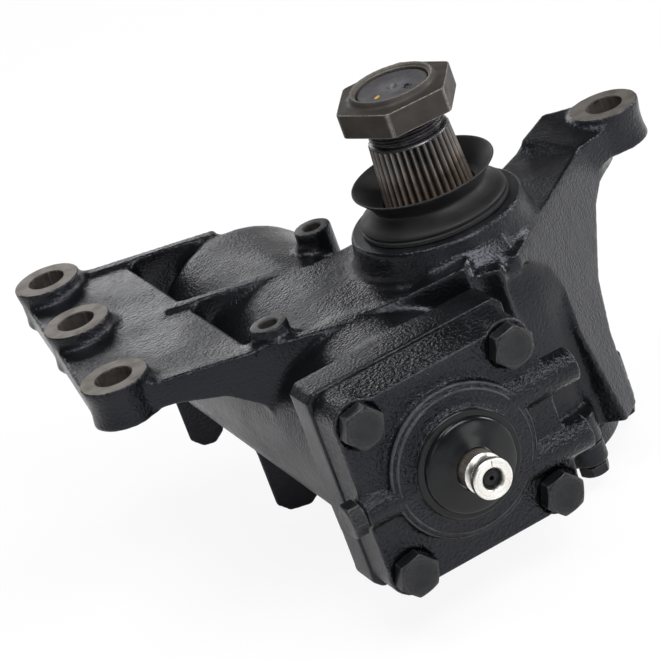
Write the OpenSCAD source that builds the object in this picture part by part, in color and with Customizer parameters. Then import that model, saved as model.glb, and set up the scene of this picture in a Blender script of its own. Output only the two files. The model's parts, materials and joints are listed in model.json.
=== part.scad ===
// Truck steering gearbox: a worm drives a rack piston on recirculating balls, and the rack turns
// the sector shaft that carries the drop arm. Modelled about the worm axis, then set down so that
// the origin is on the sector shaft axis, in the plane of the four mounting faces. Millimetres.

/* [Gear set] */
// Distance from the sector shaft axis to the worm axis
worm_offset = 78; // [76:0.5:82]
// Module of the rack and sector teeth
tooth_module = 8; // [7:0.25:8.25]
// Pressure angle of the rack teeth
pressure_angle = 25; // [22:0.5:27]
// Length of the sector teeth along the shaft
sector_face = 60; // [40:1:62]
// Turn of the sector shaft each way from the middle
sector_turn = 45; // [30:1:46]
// Lead of the worm, one turn's travel of the piston
worm_lead = 15; // [13:0.5:16]
// Outside diameter of the worm thread
worm_d = 30; // [29:0.5:31]
// Diameter of the circle that the recirculating balls run on
ball_circle_d = 32; // [31.5:0.25:33]
// Diameter of the recirculating balls
ball_d = 7; // [6:0.25:7.25]

/* [Cylinder] */
// Bore of the power cylinder
bore_d = 100; // [96:1:104]
// Wall of the power cylinder
barrel_wall = 10.5; // [9:0.5:14]
// Thickness of the closed rear end
rear_wall = 10; // [8:0.5:16]
// Length of the piston in front of the sector axis
piston_front = 52; // [48:1:54]
// Length of the piston behind the sector axis
piston_rear = 110; // [106:1:114]
// Room between the piston and the rear end at full travel
rear_room = 9; // [5:1:20]
// Rounding of the rear end's rim
rear_round = 16; // [8:1:20]

/* [Sector housing] */
// Wall round the sector chamber
chamber_wall = 7; // [6:0.5:9]
// Height of the housing's flat top above the worm axis
top_z = 62; // [60:0.5:64]
// Depth of the side cover joint below the worm axis
joint_z = 62; // [60:0.5:66]
// Outer diameter of the machined ring round the sector shaft
boss_ring_d = 98; // [94:1:102]
// Height of that ring above the worm axis
boss_z = 79.5; // [77:0.5:82]

/* [Mounting lugs] */
// Height of the mounting faces above the worm axis
mount_z = 68; // [66:0.5:70]
// Outer diameter of a lug
lug_d = 40; // [36:0.5:44]
// Bolt hole in a lug
lug_bore_d = 21; // [17:0.5:25]
// Height of a lug
lug_h = 25; // [20:1:30]
// Thickness of the lug plate
plate_t = 14; // [10:1:18]
// Thickness of the webs under and beside the plate
web_t = 8; // [6:0.5:12]
// Angle of the webs to the cylinder's square direction
web_angle = -25; // [-30:1:-20]
// Outer diameter of the two bracket bosses
bracket_boss_d = 22; // [18:0.5:24]
// Tapped hole in a bracket boss
bracket_hole_d = 10.5; // [8:0.5:12]

/* [Front flange and valve housing] */
// Front joint's distance in front of the sector axis
joint_y = 95; // [94:1:100]
// Thickness of the housing's front flange
flange_t = 24; // [20:1:28]
// Spacing of the valve housing bolts
bolt_pitch = 93; // [91:0.5:95]
// Diameter of those bolts
bolt_d = 14; // [12:1:16]
// Width across the flats of their heads
bolt_af = 22; // [19:0.5:24]
// Height of their heads
bolt_head_h = 10; // [7:0.5:11]
// Thickness of the valve housing at its bolt seats
valve_t = 25.5; // [25:0.5:30]
// Depth of the spot faces under the bolt heads
seat_depth = 2; // [0.5:0.25:2.5]
// Outside diameter of the raised disc on the valve housing
front_ring_d = 88; // [84:1:94]
// Outside diameter of the nose round the input shaft
nose_d = 62; // [58:1:68]
// Length of the nose in front of the bolt seats
nose_h = 10.5; // [8:0.5:12]
// Outside diameter of the port bosses
port_boss_d = 20; // [18:0.5:24]
// Thread core diameter of the ports
port_d = 12; // [10:0.5:13]
// Depth of the ports
port_depth = 24; // [18:1:30]

/* [Sector shaft] */
// Diameter of the sector shaft in its bearings
journal_d = 50; // [46:0.5:52]
// Diameter at the bottom of the drop arm taper
taper_bottom_d = 52; // [48:0.5:54]
// Diameter at the top of the taper
taper_top_d = 47; // [44:0.5:48]
// Height of the bottom of the taper above the worm axis
taper_z = 88; // [86:0.5:92]
// Length of the taper
taper_h = 40; // [34:1:44]
// Number of serrations on the taper
taper_teeth = 36; // [30:1:40]
// Depth of those serrations
taper_tooth_h = 2; // [1:0.1:2.4]
// Thread diameter for the drop arm nut
nut_thread_d = 42; // [38:0.5:43]
// Width across the flats of the drop arm nut
nut_af = 62; // [56:1:66]
// Height of the drop arm nut
nut_h = 18; // [14:1:24]
// Gap between the taper and the nut
nut_gap = 14; // [8:1:18]

/* [Input shaft] */
// Diameter of the serrated end
input_d = 23.3; // [21:0.1:24]
// Number of serrations
input_teeth = 40; // [30:1:48]
// Depth of those serrations
input_tooth_h = 0.8; // [0.4:0.1:1]
// Length of the shaft in front of the nose
input_reach = 29; // [26:1:36]
// Diameter of the shaft under its bearing and seal
spool_d = 26; // [25:0.5:27]
// Outer diameter of the dust cap
cap_d = 51; // [48:1:54]

/* [Side cover] */
// Thickness of the side cover
cover_t = 13; // [10:1:16]
// Number of side cover bolts
cover_bolts = 6; // [5:1:8]
// Diameter of the side cover bolts
cover_bolt_d = 10; // [8:1:10]
// Width across the flats of their heads
cover_bolt_af = 16; // [13:0.5:17]
// Diameter of the adjuster screw
adjuster_d = 12; // [10:1:14]

/* [Fits] */
// Radial clearance of a running shaft
run_gap = 0.05; // [0.02:0.01:0.09]
// Radial clearance of a seated ring
seat_gap = 0.02; // [0.01:0.01:0.05]
// Clearance of moving faces that never touch
free_gap = 0.4; // [0.3:0.05:0.8]

/* [Hidden] */
$fn = 96;
iron_black = "#26272a";
steel = "#b9b8b4";
dark_steel = "#57524c";
rubber = "#17181a";

// Gear set worked out
rack_teeth_per_turn = 11;
pitch_r = tooth_module * rack_teeth_per_turn / 2;
addendum = 0.9 * tooth_module;
tip_r = pitch_r + addendum;
root_r = pitch_r - addendum - 0.15 * tooth_module;
base_r = pitch_r * cos(pressure_angle);
tooth_pitch = PI * tooth_module;
backlash = 0.5;
rack_pitch_x = worm_offset - pitch_r;
rack_tip_x = rack_pitch_x + addendum;
rack_root_x = rack_pitch_x - addendum - 0.15 * tooth_module;
travel = pitch_r * sector_turn * PI / 180;
hub_r = root_r - 5;
side_teeth = 1;

// Cylinder worked out
bore_r = bore_d / 2;
barrel_r = bore_r + barrel_wall;
bore_end_y = piston_rear + travel + rear_room;
barrel_end_y = bore_end_y + rear_wall;
flange_back_y = -joint_y + flange_t;
piston_r = bore_r - run_gap;
flat_end_y = travel + root_r + 4;

// Worm and balls worked out
ball_r = ball_d / 2;
ball_circle_r = ball_circle_d / 2;
groove_r = ball_r + 0.3;
ball_turns = 2.5;
ball_start_y = -ball_turns * worm_lead / 2;
balls_per_turn = floor(PI * ball_circle_d / (ball_d + 0.4));
thread_end_y = ball_turns * worm_lead / 2 + travel + ball_d;
worm_bore_r = ball_circle_r + 0.6;
thread_sides = 16;
thread_slices = 8;
worm_neck_r = worm_d / 2 - 4;
bore_blind_y = thread_end_y + travel + 3;
tube_r = ball_r + 1.2;

// Sector housing worked out
roof_clear = 6;
chamber_bore_r = tip_r + 2;
chamber_r = chamber_bore_r + chamber_wall;
roof_z = sector_face / 2 + roof_clear;
journal_r = journal_d / 2;
bearing_wall = 6;
seal_wall = 9;
bearing_top_z = boss_z - 13.5;
seal_z = boss_z - 10.5;
saddle_half = chamber_r - 6;
skirt_r = chamber_r + 3.3;

// Lug places on the mounting plane: three on the plate, one on the arm
plate_lugs = [[-174, 195.5], [-185, 121], [-199.5, 29.5]];
arm_lug = [136, 46];
// Front face of the arm: its upper corner beside the boss, its turn in plan, its lean backwards,
// and how the arm's top rises behind it and climbs out to the lug
arm_corner = [11.5, -63.5, 61];
arm_turn = 43;
arm_lean = 10;
arm_top_rise = 7;
arm_top_climb = 0.8;
arm_depth = 75;
arm_thick = 25;
// Plan of the arm's neck round the lug
arm_neck = [[100, 20], [124, 27], [136, 26.5], [136, 65.5], [127, 69], [109, 75], [84, 56]];
// Distance of the arm's front face from the sector axis, and the chamber's radius just behind it
arm_face_r = arm_corner[0] * sin(arm_turn) - arm_corner[1] * cos(arm_turn);
chamber_top_r = arm_face_r - 0.6;
chamber_cone_h = (chamber_r - chamber_top_r) / tan(arm_lean);
plate_inner_x = -130;
rib_z = top_z - 1;
deck_step = 1.5;
plate_z = rib_z - 2;
plate_edge = web_t / 2 - 1;
web_offsets = [-65, 25.5, 111.5];
// Outer end of each web, and the outer side, the width and the bottom of its leg
web_tips = [plate_lugs[2][0] + 14, plate_inner_x - 10, plate_lugs[0][0] + 14];
web_legs = [[-129, 18, -18], [-123, 24, -85], [-131, 19, -70]];
rib_offset = web_offsets[0] + web_t / 2;
bracket_bosses = [[-116.4, -5.9, 30], [-44.8, 82.2, 20]];
bracket_boss_z = mount_z + 1;
bracket_hole_depth = 18;

// Valve housing worked out
bolt_seat_y = -joint_y - valve_t;
valve_face_y = bolt_seat_y - seat_depth;
nose_y = bolt_seat_y - nose_h;
corner_r = 14;
spot_r = corner_r - 0.4;
valve_half = bolt_pitch / 2 + corner_r;
valve_draft = 9;
flange_half = valve_half + 1;
flange_chamfer = 5;
disc_step = 4;
proud = 6.5;
bolt_hole_r = bolt_d / 2 + 0.5;
bolt_reach = valve_t + flange_t - 5;
spigot_h = 6;
upper_port_reach = 17.5;
lower_port_reach = 13.5;
upper_port = [valve_half + upper_port_reach, 17];
lower_port = [valve_half + lower_port_reach, -23];
port_y = valve_face_y - proud + port_boss_d / 2;
plug_boss_r = 9.5;
plug_y = valve_face_y - proud + plug_boss_r;
plug_z = -2.5;
plug_boss_reach = 1.5;
plug_boss_x = valve_half + plug_boss_reach;
plug_r = 7;
plug_af = 18;

// Input end worked out
head_r = 20;
head_y = -joint_y + spigot_h - 1;
race_r = 30;
race_w = 12;
race_y = -joint_y - 9;
race_ball_r = 3;
race_ball_circle_r = 22;
race_balls = 18;
spool_r = spool_d / 2;
spool_end_y = race_y + 3;
head_front_y = race_y - 10;
needle_r = spool_r + 4;
needle_h = 8;
input_seal_r = spool_r + 6;
input_seal_h = 6;
needle_y = nose_y + input_seal_h;
input_tip_y = nose_y - input_reach;
bar_r = 4;
bar_rear_y = -58;
bar_front_y = nose_y - 12;
pin_r = 2;
pin_y = -66;
cap_h = 14;

// Side cover worked out
cover_bottom_z = -joint_z - cover_t;
ear_r = 10;
cover_bolt_circle_r = chamber_bore_r + cover_bolt_d / 2 + 4;
cover_bolt_angle = -75;
cover_head_h = 7;
cover_bolt_grip = 10;
cover_bolt_reach = cover_t + cover_bolt_grip;
cover_flange_h = 18;
pilot_h = 8;
cover_hub_r = 34;
cover_hub_z = -joint_z + 14;
lower_journal_r = 22;
lower_bearing_wall = 5;
lower_end_z = -joint_z - 4;
adjuster_r = adjuster_d / 2;
adjuster_head_r = adjuster_r + 2.5;
adjuster_pocket_r = adjuster_head_r + 1.5;
adjuster_pocket_h = 10;
adjuster_head_h = 4;
retainer_h = 3;
lock_nut_af = 1.6 * adjuster_d;
lock_nut_h = 0.75 * adjuster_d;
adjuster_boss_h = 4;

// Rings of round section in their grooves
oring_r = 1.8;
flange_oring_r = bore_r + 4.5;
cover_oring_z = -joint_z + pilot_h / 2;

// Placing helpers

// Sets the worm axis model down on the mounting plane
module on_mounting_plane() {
    translate([0, 0, -mount_z]) children();
}

// Local z runs backwards along the worm axis from y
module along_worm(y) {
    translate([-worm_offset, y, 0]) rotate([-90, 0, 0]) children();
}

// Local x and y are the front view's x and z about the worm axis, local z runs forwards from y
module facing_front(y) {
    translate([-worm_offset, y, 0]) rotate([90, 0, 0]) children();
}

// Local z runs along +X from x, at height z and depth y
module along_x(x, y, z) {
    translate([x, y, z]) rotate([0, 90, 0]) children();
}

module ring(outer_r, inner_r, h) {
    difference() {
        cylinder(r = outer_r, h = h);
        translate([0, 0, -1]) cylinder(r = inner_r, h = h + 2);
    }
}

// Hexagon prism from its width across flats
module hexagon(af, h) {
    cylinder(r = af / sqrt(3), h = h, $fn = 6);
}

// Hexagon whose top corners are turned down to a cone
module chamfered_hexagon(af, h) {
    corner = af / sqrt(3);
    intersection() {
        hexagon(af, h);
        union() {
            cylinder(r = corner + 1, h = h - (corner - af / 2) * 0.6);
            translate([0, 0, h - (corner - af / 2) * 0.6])
                cylinder(r1 = corner, r2 = corner - (corner - af / 2) * 1.2, h = (corner - af / 2) * 0.6);
        }
    }
}

// Square of side w with its four corners rounded about the bolt centres
module rounded_square(pitch, r) {
    square([pitch + 2 * r, pitch], center = true);
    square([pitch, pitch + 2 * r], center = true);
    at_valve_bolts() circle(r);
}

module at_valve_bolts() {
    for (x = [-1, 1], z = [-1, 1])
        translate([x * bolt_pitch / 2, z * bolt_pitch / 2]) children();
}

module at_cover_bolts() {
    for (i = [0 : cover_bolts - 1])
        rotate(cover_bolt_angle + i * 360 / cover_bolts) translate([cover_bolt_circle_r, 0]) children();
}

module at_plate_lugs() {
    for (p = plate_lugs) translate([p[0], p[1]]) children();
}

// Teeth

function involute(a) = tan(a) * 180 / PI - a;

// Half angle of a sector tooth at radius r, straight and radial under the base circle
function tooth_half_angle(r) =
    90 / rack_teeth_per_turn - backlash / 4 / pitch_r * 180 / PI
    + involute(pressure_angle) - involute(acos(base_r / max(r, base_r)));

module sector_tooth() {
    steps = 10;
    radii = [for (i = [0 : steps]) root_r - 2 + (tip_r - root_r + 2) * i / steps];
    polygon(concat(
        [for (r = radii) r * [cos(tooth_half_angle(r)), sin(tooth_half_angle(r))]],
        [for (i = [steps : -1 : 0]) let (r = radii[i])
            r * [cos(tooth_half_angle(r)), -sin(tooth_half_angle(r))]]));
}

// Toothed sector seen along the shaft, its middle tooth towards the worm
module sector_outline() {
    rotate(180) {
        for (i = [-side_teeth : side_teeth]) rotate(i * 360 / rack_teeth_per_turn) sector_tooth();
        intersection() {
            circle(root_r);
            polygon([[0, 0], [2 * root_r, -2 * root_r], [2 * root_r, 2 * root_r]]);
        }
    }
    circle(hub_r);
}

// Gap between two rack teeth, seen from above: x away from the worm axis, y along it
module rack_gap() {
    wide = tooth_pitch / 4 + backlash / 4;
    top = rack_tip_x + 2;
    slope = tan(pressure_angle);
    polygon([[rack_root_x, -wide + (rack_pitch_x - rack_root_x) * slope],
             [top, -wide - (top - rack_pitch_x) * slope],
             [top, wide + (top - rack_pitch_x) * slope],
             [rack_root_x, wide - (rack_pitch_x - rack_root_x) * slope]]);
}

// Cross-section of the ball thread, round except where the groove passes: sign -1 cuts it into the
// worm, sign 1 stands it out for the nut and allows for the flats between slices
module thread_outline(plain_r, sign) {
    allowance = sign < 0 ? 1 : 1 / cos(180 / thread_slices);
    polygon([for (i = [0 : thread_sides - 1])
        let (a = i * 360 / thread_sides - 180,
             lag = worm_lead * a / 360,
             depth = abs(lag) < groove_r ? sqrt(groove_r * groove_r - lag * lag) : 0,
             r = sign < 0 ? min(plain_r, ball_circle_r - depth) : max(plain_r, ball_circle_r + depth))
        r * allowance * [cos(a), sin(a)]]);
}

// Right-hand ball thread between two places on the worm axis
module ball_thread(y1, y2, plain_r, sign) {
    turns = (y2 - y1) / worm_lead;
    along_worm(y1) rotate(360 * y1 / worm_lead)
        linear_extrude(height = y2 - y1, twist = -360 * turns, slices = ceil(turns * thread_slices),
                       $fn = thread_sides)
            thread_outline(plain_r, sign);
}

// Place of the ball i on the helix
module at_ball(i) {
    a = 360 * i / balls_per_turn;
    y = ball_start_y + worm_lead * a / 360;
    along_worm(y) rotate(360 * y / worm_lead) translate([ball_circle_r, 0, 0]) children();
}

// Housing

module barrel() {
    h = barrel_end_y - flange_back_y + 2;
    along_worm(flange_back_y - 2) rotate_extrude() {
        square([barrel_r, h - rear_round]);
        square([barrel_r - rear_round, h]);
        translate([barrel_r - rear_round, h - rear_round]) circle(rear_round);
    }
}

module front_flange() {
    facing_front(flange_back_y) linear_extrude(flange_t) intersection() {
        square(2 * flange_half, center = true);
        rotate(45) square((2 * flange_half - flange_chamfer) * sqrt(2), center = true);
    }
}

module sector_chamber() {
    translate([0, 0, -joint_z]) cylinder(r = chamber_r, h = joint_z + top_z - chamber_cone_h);
    translate([0, 0, top_z - chamber_cone_h])
        cylinder(r1 = chamber_r, r2 = chamber_top_r, h = chamber_cone_h);
    translate([0, 0, -joint_z]) linear_extrude(cover_flange_h) cover_outline();
    translate([0, 0, -joint_z * 0.75]) linear_extrude(joint_z * 0.75 + top_z - deck_step) deck_outline();
}

// Deck between the cylinder and the chamber, behind the front rib
module deck_outline() {
    polygon([web_point(rib_offset, -worm_offset), [-worm_offset, saddle_half], [0, saddle_half],
             web_point(rib_offset, 0)]);
}

// Front rib carried on over the cylinder, rising to the side of the boss
module front_rib() {
    start = -worm_offset - 12;
    end = -boss_ring_d / 6;
    outline = [[start, 0], [start, rib_z], [start * 0.6, rib_z + 1.5], [end, boss_z - 10], [end, 0]];
    on_web(rib_offset) polygon([for (p = outline) [web_u(rib_offset, p[0]), p[1]]]);
}

// Round flange with an ear at each bolt
module cover_outline() {
    circle(chamber_r + 1);
    at_cover_bolts() circle(ear_r);
}

// Boss round the sector shaft, drawn in to the machined ring
module sector_boss() {
    ring_r = boss_ring_d / 2;
    foot_r = chamber_top_r - 0.8;
    rotate_extrude() polygon([[0, roof_z], [foot_r, roof_z], [foot_r, top_z + 1], [ring_r + 2, boss_z - 8],
                              [ring_r + 1.5, boss_z - 3], [ring_r, boss_z], [0, boss_z]]);
}

// Skirt from the boss down to the front wall, between the front rib and the arm
module boss_skirt() {
    left = -32;
    right = arm_corner[0] + 2.5;
    low = top_z - 11;
    intersection() {
        rotate_extrude() polygon([[0, low], [skirt_r, low], [skirt_r, low + 4],
                                  [chamber_top_r - 1, top_z + 8], [0, top_z + 8]]);
        translate([left, -2 * skirt_r, 0]) cube([right - left, 1.5 * skirt_r, 2 * top_z]);
    }
}

// A lug's turned body, slightly waisted under its face
module lug() {
    r = lug_d / 2;
    waist_r = r - 1.2;
    translate([0, 0, mount_z - lug_h]) rotate_extrude()
        polygon([[0, 0], [r, 0], [waist_r, lug_h * 0.3], [waist_r, lug_h * 0.6], [r, lug_h * 0.85],
                 [r, lug_h], [0, lug_h]]);
}

module lug_plate() {
    edge = lug_d / 2 - 2;
    translate([0, 0, plate_z - plate_t]) linear_extrude(plate_t)
        polygon([[plate_lugs[0][0] - edge, plate_lugs[0][1]],
                 web_point(web_offsets[2] + plate_edge, plate_lugs[0][0] + 4),
                 web_point(web_offsets[2] + plate_edge, plate_inner_x),
                 web_point(web_offsets[0] - plate_edge, plate_inner_x),
                 web_point(web_offsets[0] - plate_edge, plate_lugs[2][0] + 10),
                 [plate_lugs[2][0] - edge, plate_lugs[2][1]],
                 [plate_lugs[1][0] - edge, plate_lugs[1][1]]]);
    at_plate_lugs() lug();
}

// Point in plan on the web line at this offset, at this x
function web_point(offset, x) = [x, (offset + sin(web_angle) * x) / cos(web_angle)];
// Place along a web line of the point at this x
function web_u(offset, x) = (x + offset * sin(web_angle)) / cos(web_angle);

// Upright web on a slanting line: from the plate over the cylinder's top and down to its leg
module web(i) {
    round = 6;
    leg_x = web_legs[i][0];
    foot = leg_x + web_legs[i][1];
    leg_z = web_legs[i][2];
    outline = [[web_tips[i], rib_z], [-worm_offset, rib_z], [-worm_offset, leg_z / 2],
               [foot + 8, leg_z / 2], [foot, leg_z + round], [foot - round, leg_z],
               [leg_x + round, leg_z], [leg_x, leg_z + round], [leg_x, 12], [leg_x - 6, 28],
               [leg_x - 22, 40], [web_tips[i], rib_z - plate_t]];
    on_web(web_offsets[i]) polygon([for (p = outline) [web_u(web_offsets[i], p[0]), p[1]]]);
}

// Upright slab of the web thickness, centred on the web line at this offset
module on_web(offset) {
    rotate([0, 0, web_angle]) translate([0, offset + web_t / 2, 0]) rotate([90, 0, 0])
        linear_extrude(web_t) children();
}

// Distance along the arm's front face of a point in plan
function arm_u(p) = (p[0] - arm_corner[0]) * cos(arm_turn) + (p[1] - arm_corner[1]) * sin(arm_turn);

// Outline of the arm's front face: u runs out to the lug, v is up the face from the corner. It
// stands over the arm's top, which is cut to its slope afterwards.
module arm_face() {
    lug_u = arm_u(arm_lug);
    foot_v = (-joint_z - arm_corner[2]) / cos(arm_lean);
    polygon([[0, arm_thick], [lug_u, arm_thick], [lug_u, -arm_thick], [lug_u - 36, -arm_thick],
             [lug_u - 54, -arm_thick - 6], [lug_u - 93, -58], [55, -84], [42, foot_v], [22, foot_v],
             [22, -64], [31, -38], [26, -22], [0, 0]]);
}

// The arm seen from above, open to the front, with its rear edge running from the chamber to the lug
module arm_plan() {
    x = arm_lug[0];
    y = arm_lug[1];
    polygon([[0, -2 * chamber_r], [x + lug_d, -2 * chamber_r], [x + lug_d / 3, y + lug_d / 3],
             [x - 9, y + 23], [x - 27, y + 29], [chamber_r - 4, chamber_r * 0.7], [0, chamber_r * 0.7]]);
}

// Arm from the sector chamber out to the fourth lug, under one sloping top
module arm() {
    reach = 3 * arm_lug[0];
    difference() {
        union() {
            intersection() {
                translate(arm_corner) rotate([90 - arm_lean, 0, arm_turn]) translate([0, 0, -arm_depth])
                    linear_extrude(arm_depth) arm_face();
                translate([0, 0, -joint_z]) linear_extrude(2 * joint_z) arm_plan();
            }
            translate([0, 0, mount_z - lug_h + 1]) linear_extrude(lug_h) polygon(arm_neck);
        }
        translate(arm_corner) rotate([arm_top_rise, -arm_top_climb, arm_turn])
            translate([-reach / 2, -reach / 2, 0]) cube([reach, reach, reach]);
    }
    translate([arm_lug[0], arm_lug[1]]) lug();
}

module housing_bores() {
    along_worm(-joint_y - 1) cylinder(r = bore_r, h = joint_y + bore_end_y + 1);
    translate([0, 0, -joint_z - 1]) cylinder(r = chamber_bore_r, h = joint_z + roof_z + 1);
    translate([0, 0, roof_z - 1])
        cylinder(r = journal_r + bearing_wall + seat_gap, h = bearing_top_z - roof_z + 1);
    cylinder(r = journal_r + 2, h = boss_z);
    translate([0, 0, seal_z]) cylinder(r = journal_r + seal_wall + seat_gap, h = boss_z);
    facing_front(-joint_y + flange_t - 4) at_valve_bolts()
        cylinder(r = bolt_d / 2 + seat_gap, h = flange_t);
    facing_front(-joint_y + oring_r * 1.5)
        ring(flange_oring_r + oring_r + free_gap, flange_oring_r - oring_r - free_gap, oring_r * 5);
    translate([0, 0, -joint_z - 1]) at_cover_bolts()
        cylinder(r = cover_bolt_d / 2 + seat_gap, h = cover_bolt_grip + 2.5);
    for (p = concat(plate_lugs, [arm_lug])) translate([p[0], p[1], mount_z - lug_h - 1])
        cylinder(d = lug_bore_d, h = lug_h + 2);
    for (b = bracket_bosses) translate([b[0], b[1], bracket_boss_z - bracket_hole_depth])
        cylinder(d = bracket_hole_d, h = bracket_hole_depth + 1);
}

module housing() {
    color(iron_black) difference() {
        union() {
            barrel();
            front_flange();
            sector_chamber();
            sector_boss();
            lug_plate();
            for (i = [0 : 2]) web(i);
            front_rib();
            boss_skirt();
            arm();
            for (b = bracket_bosses) translate([b[0], b[1], b[2]])
                cylinder(d = bracket_boss_d, h = bracket_boss_z - b[2]);
        }
        housing_bores();
    }
}

// Valve housing and what it carries

// Plate whose top and bottom draw in towards its face, with a full pad at each bolt
module valve_plate() {
    h = valve_t + seat_depth;
    difference() {
        facing_front(-joint_y) linear_extrude(h) rounded_square(bolt_pitch, corner_r);
        for (side = [-1, 1])
            translate([-worm_offset, -joint_y - proud, side * valve_half])
                rotate([side * valve_draft, 0, 0])
                translate([-bolt_pitch, -bolt_pitch, (side - 1) * bolt_pitch / 2])
                cube(bolt_pitch * [2, 1, 1]);
    }
    facing_front(-joint_y) at_valve_bolts() cylinder(r = corner_r, h = h);
}

module valve_body() {
    face = valve_t + seat_depth;
    valve_plate();
    facing_front(-joint_y) cylinder(d = front_ring_d, h = face + disc_step);
    facing_front(-joint_y) cylinder(d = front_ring_d - 1.5 * disc_step, h = face + disc_step * 1.4);
    facing_front(-joint_y) cylinder(d1 = nose_d + 6, d2 = nose_d, h = valve_t + nose_h);
    for (p = [upper_port, lower_port])
        along_x(-worm_offset, port_y, p[1]) cylinder(d = port_boss_d, h = p[0]);
    along_x(-worm_offset - plug_boss_x, plug_y, plug_z) cylinder(r = plug_boss_r, h = plug_boss_x);
    along_worm(-joint_y - 1) cylinder(r = bore_r - seat_gap, h = spigot_h + 1);
}

module valve_housing() {
    color(iron_black) difference() {
        valve_body();
        facing_front(-joint_y + spigot_h + 1)
            cylinder(r = race_r + seat_gap, h = spigot_h + 1 - joint_y - race_y + race_w / 2);
        facing_front(race_y) cylinder(r = head_r + 4, h = race_y - head_front_y + 2);
        facing_front(race_y) cylinder(r = spool_r + 1, h = 100);
        facing_front(needle_y + needle_h) cylinder(r = needle_r + seat_gap, h = needle_h);
        facing_front(nose_y + input_seal_h) cylinder(r = input_seal_r + seat_gap, h = input_seal_h + 1);
        facing_front(-joint_y + 1) at_valve_bolts() cylinder(r = bolt_hole_r, h = valve_t + 3);
        facing_front(bolt_seat_y) at_valve_bolts() cylinder(r = spot_r, h = seat_depth + 1);
        for (p = [upper_port, lower_port])
            along_x(-worm_offset + p[0] - port_depth, port_y, p[1])
                cylinder(d = port_d, h = port_depth + 1);
        along_x(-worm_offset - plug_boss_x - 1, plug_y, plug_z) cylinder(r = plug_r + seat_gap, h = 21);
    }
}

module valve_housing_bolts() {
    color(iron_black) facing_front(bolt_seat_y) at_valve_bolts() {
        rotate(12) chamfered_hexagon(bolt_af, bolt_head_h);
        translate([0, 0, -bolt_reach]) cylinder(d = bolt_d, h = bolt_reach + 1);
    }
}

module valve_housing_seal() {
    color(rubber) along_worm(-joint_y + oring_r * 0.75) rotate_extrude()
        translate([flange_oring_r, 0]) circle(oring_r * 0.75 - seat_gap, $fn = 24);
}

module relief_valve_plug() {
    color(iron_black) mirror_x_at_worm() {
        along_x(plug_boss_x - 16, 0, 0) cylinder(r = plug_r, h = 17);
        along_x(plug_boss_x, 0, 0) chamfered_hexagon(plug_af, 9);
    }
}

module mirror_x_at_worm() {
    translate([-worm_offset, plug_y, plug_z]) mirror([1, 0, 0]) children();
}

// Input shaft, worm and valve

module serration_grooves(r, h, teeth, depth) {
    half = PI * r / teeth * 0.8;
    wide = half * (depth + 1) / depth;
    for (i = [0 : teeth - 1]) rotate(i * 360 / teeth) linear_extrude(h)
        polygon([[r - depth, 0], [r + 1, -wide], [r + 1, wide]]);
}

module input_shaft() {
    tip_r = input_d / 2;
    collar_y = nose_y - cap_h;
    color(steel) difference() {
        union() {
            facing_front(spool_end_y) cylinder(r = spool_r - 2, h = spool_end_y - head_front_y + 2);
            facing_front(head_front_y - 1) cylinder(r = spool_r, h = head_front_y - 1 - collar_y);
            facing_front(collar_y) cylinder(r = tip_r, h = collar_y - input_tip_y - 1);
            facing_front(input_tip_y + 1) cylinder(r1 = tip_r, r2 = tip_r - 1, h = 1);
        }
        facing_front(collar_y - 2) serration_grooves(tip_r, 40, input_teeth, input_tooth_h);
        facing_front(input_tip_y + 7) ring(tip_r + 2, tip_r - 1.8, 2.2);
        facing_front(spool_end_y + 1) cylinder(r = bar_r + run_gap, h = spool_end_y - bar_front_y + 1.4);
        facing_front(input_tip_y + 4) cylinder(r1 = 2.4, r2 = 5.2, h = 4.2);
    }
}

module input_bearing() {
    color(steel) facing_front(needle_y + needle_h) ring(needle_r, spool_r + run_gap, needle_h);
}

module input_seal() {
    color(rubber) facing_front(nose_y + input_seal_h)
        ring(input_seal_r, spool_r + run_gap, input_seal_h - 0.5);
}

// Domed cap on the shaft that keeps dirt off the seal
module input_dust_cap() {
    r = cap_d / 2;
    inner = spool_r + seat_gap;
    steps = 8;
    color(iron_black) facing_front(nose_y - free_gap) rotate_extrude()
        polygon(concat([[inner, cap_h - 4], [inner + 4, 3], [r - 3, 2], [r - 3, 0], [r, 0], [r, 3]],
                       [for (i = [1 : steps]) let (a = 90 * i / steps)
                           [inner + (r - inner) * cos(a), 3 + (cap_h - 4) * sin(a)]]));
}

module worm_shaft() {
    color(steel) difference() {
        union() {
            ball_thread(-thread_end_y, thread_end_y, worm_d / 2, -1);
            along_worm(head_y - 1) cylinder(r = worm_neck_r, h = -thread_end_y - head_y + 2);
            facing_front(head_y) cylinder(r = head_r, h = head_y - head_front_y);
        }
        facing_front(race_y) rotate_extrude() translate([race_ball_circle_r, 0]) circle(race_ball_r + 0.1);
        facing_front(spool_end_y + free_gap) cylinder(r = spool_r - 2 + run_gap, h = 60);
        facing_front(bar_rear_y) cylinder(r = bar_r + seat_gap, h = 60);
        translate([-worm_offset, pin_y, -30]) cylinder(r = pin_r + seat_gap, h = 60);
    }
}

module worm_bearing_race() {
    color(steel) facing_front(race_y + race_w / 2) difference() {
        ring(race_r, race_ball_circle_r + 2, race_w);
        translate([0, 0, race_w / 2]) rotate_extrude() translate([race_ball_circle_r, 0])
            circle(race_ball_r + 0.1);
    }
}

module worm_bearing_balls() {
    color(steel) facing_front(race_y) for (i = [0 : race_balls - 1])
        rotate(i * 360 / race_balls) translate([race_ball_circle_r, 0, 0]) sphere(race_ball_r);
}

module torsion_bar() {
    color(steel) difference() {
        facing_front(bar_rear_y) cylinder(r = bar_r, h = bar_rear_y - bar_front_y);
        translate([-worm_offset, pin_y, -20]) cylinder(r = pin_r + seat_gap, h = 40);
    }
}

module torsion_bar_pin() {
    color(dark_steel) translate([-worm_offset, pin_y, -worm_neck_r + 1])
        cylinder(r = pin_r, h = 2 * worm_neck_r - 2);
}

// Piston

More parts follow.
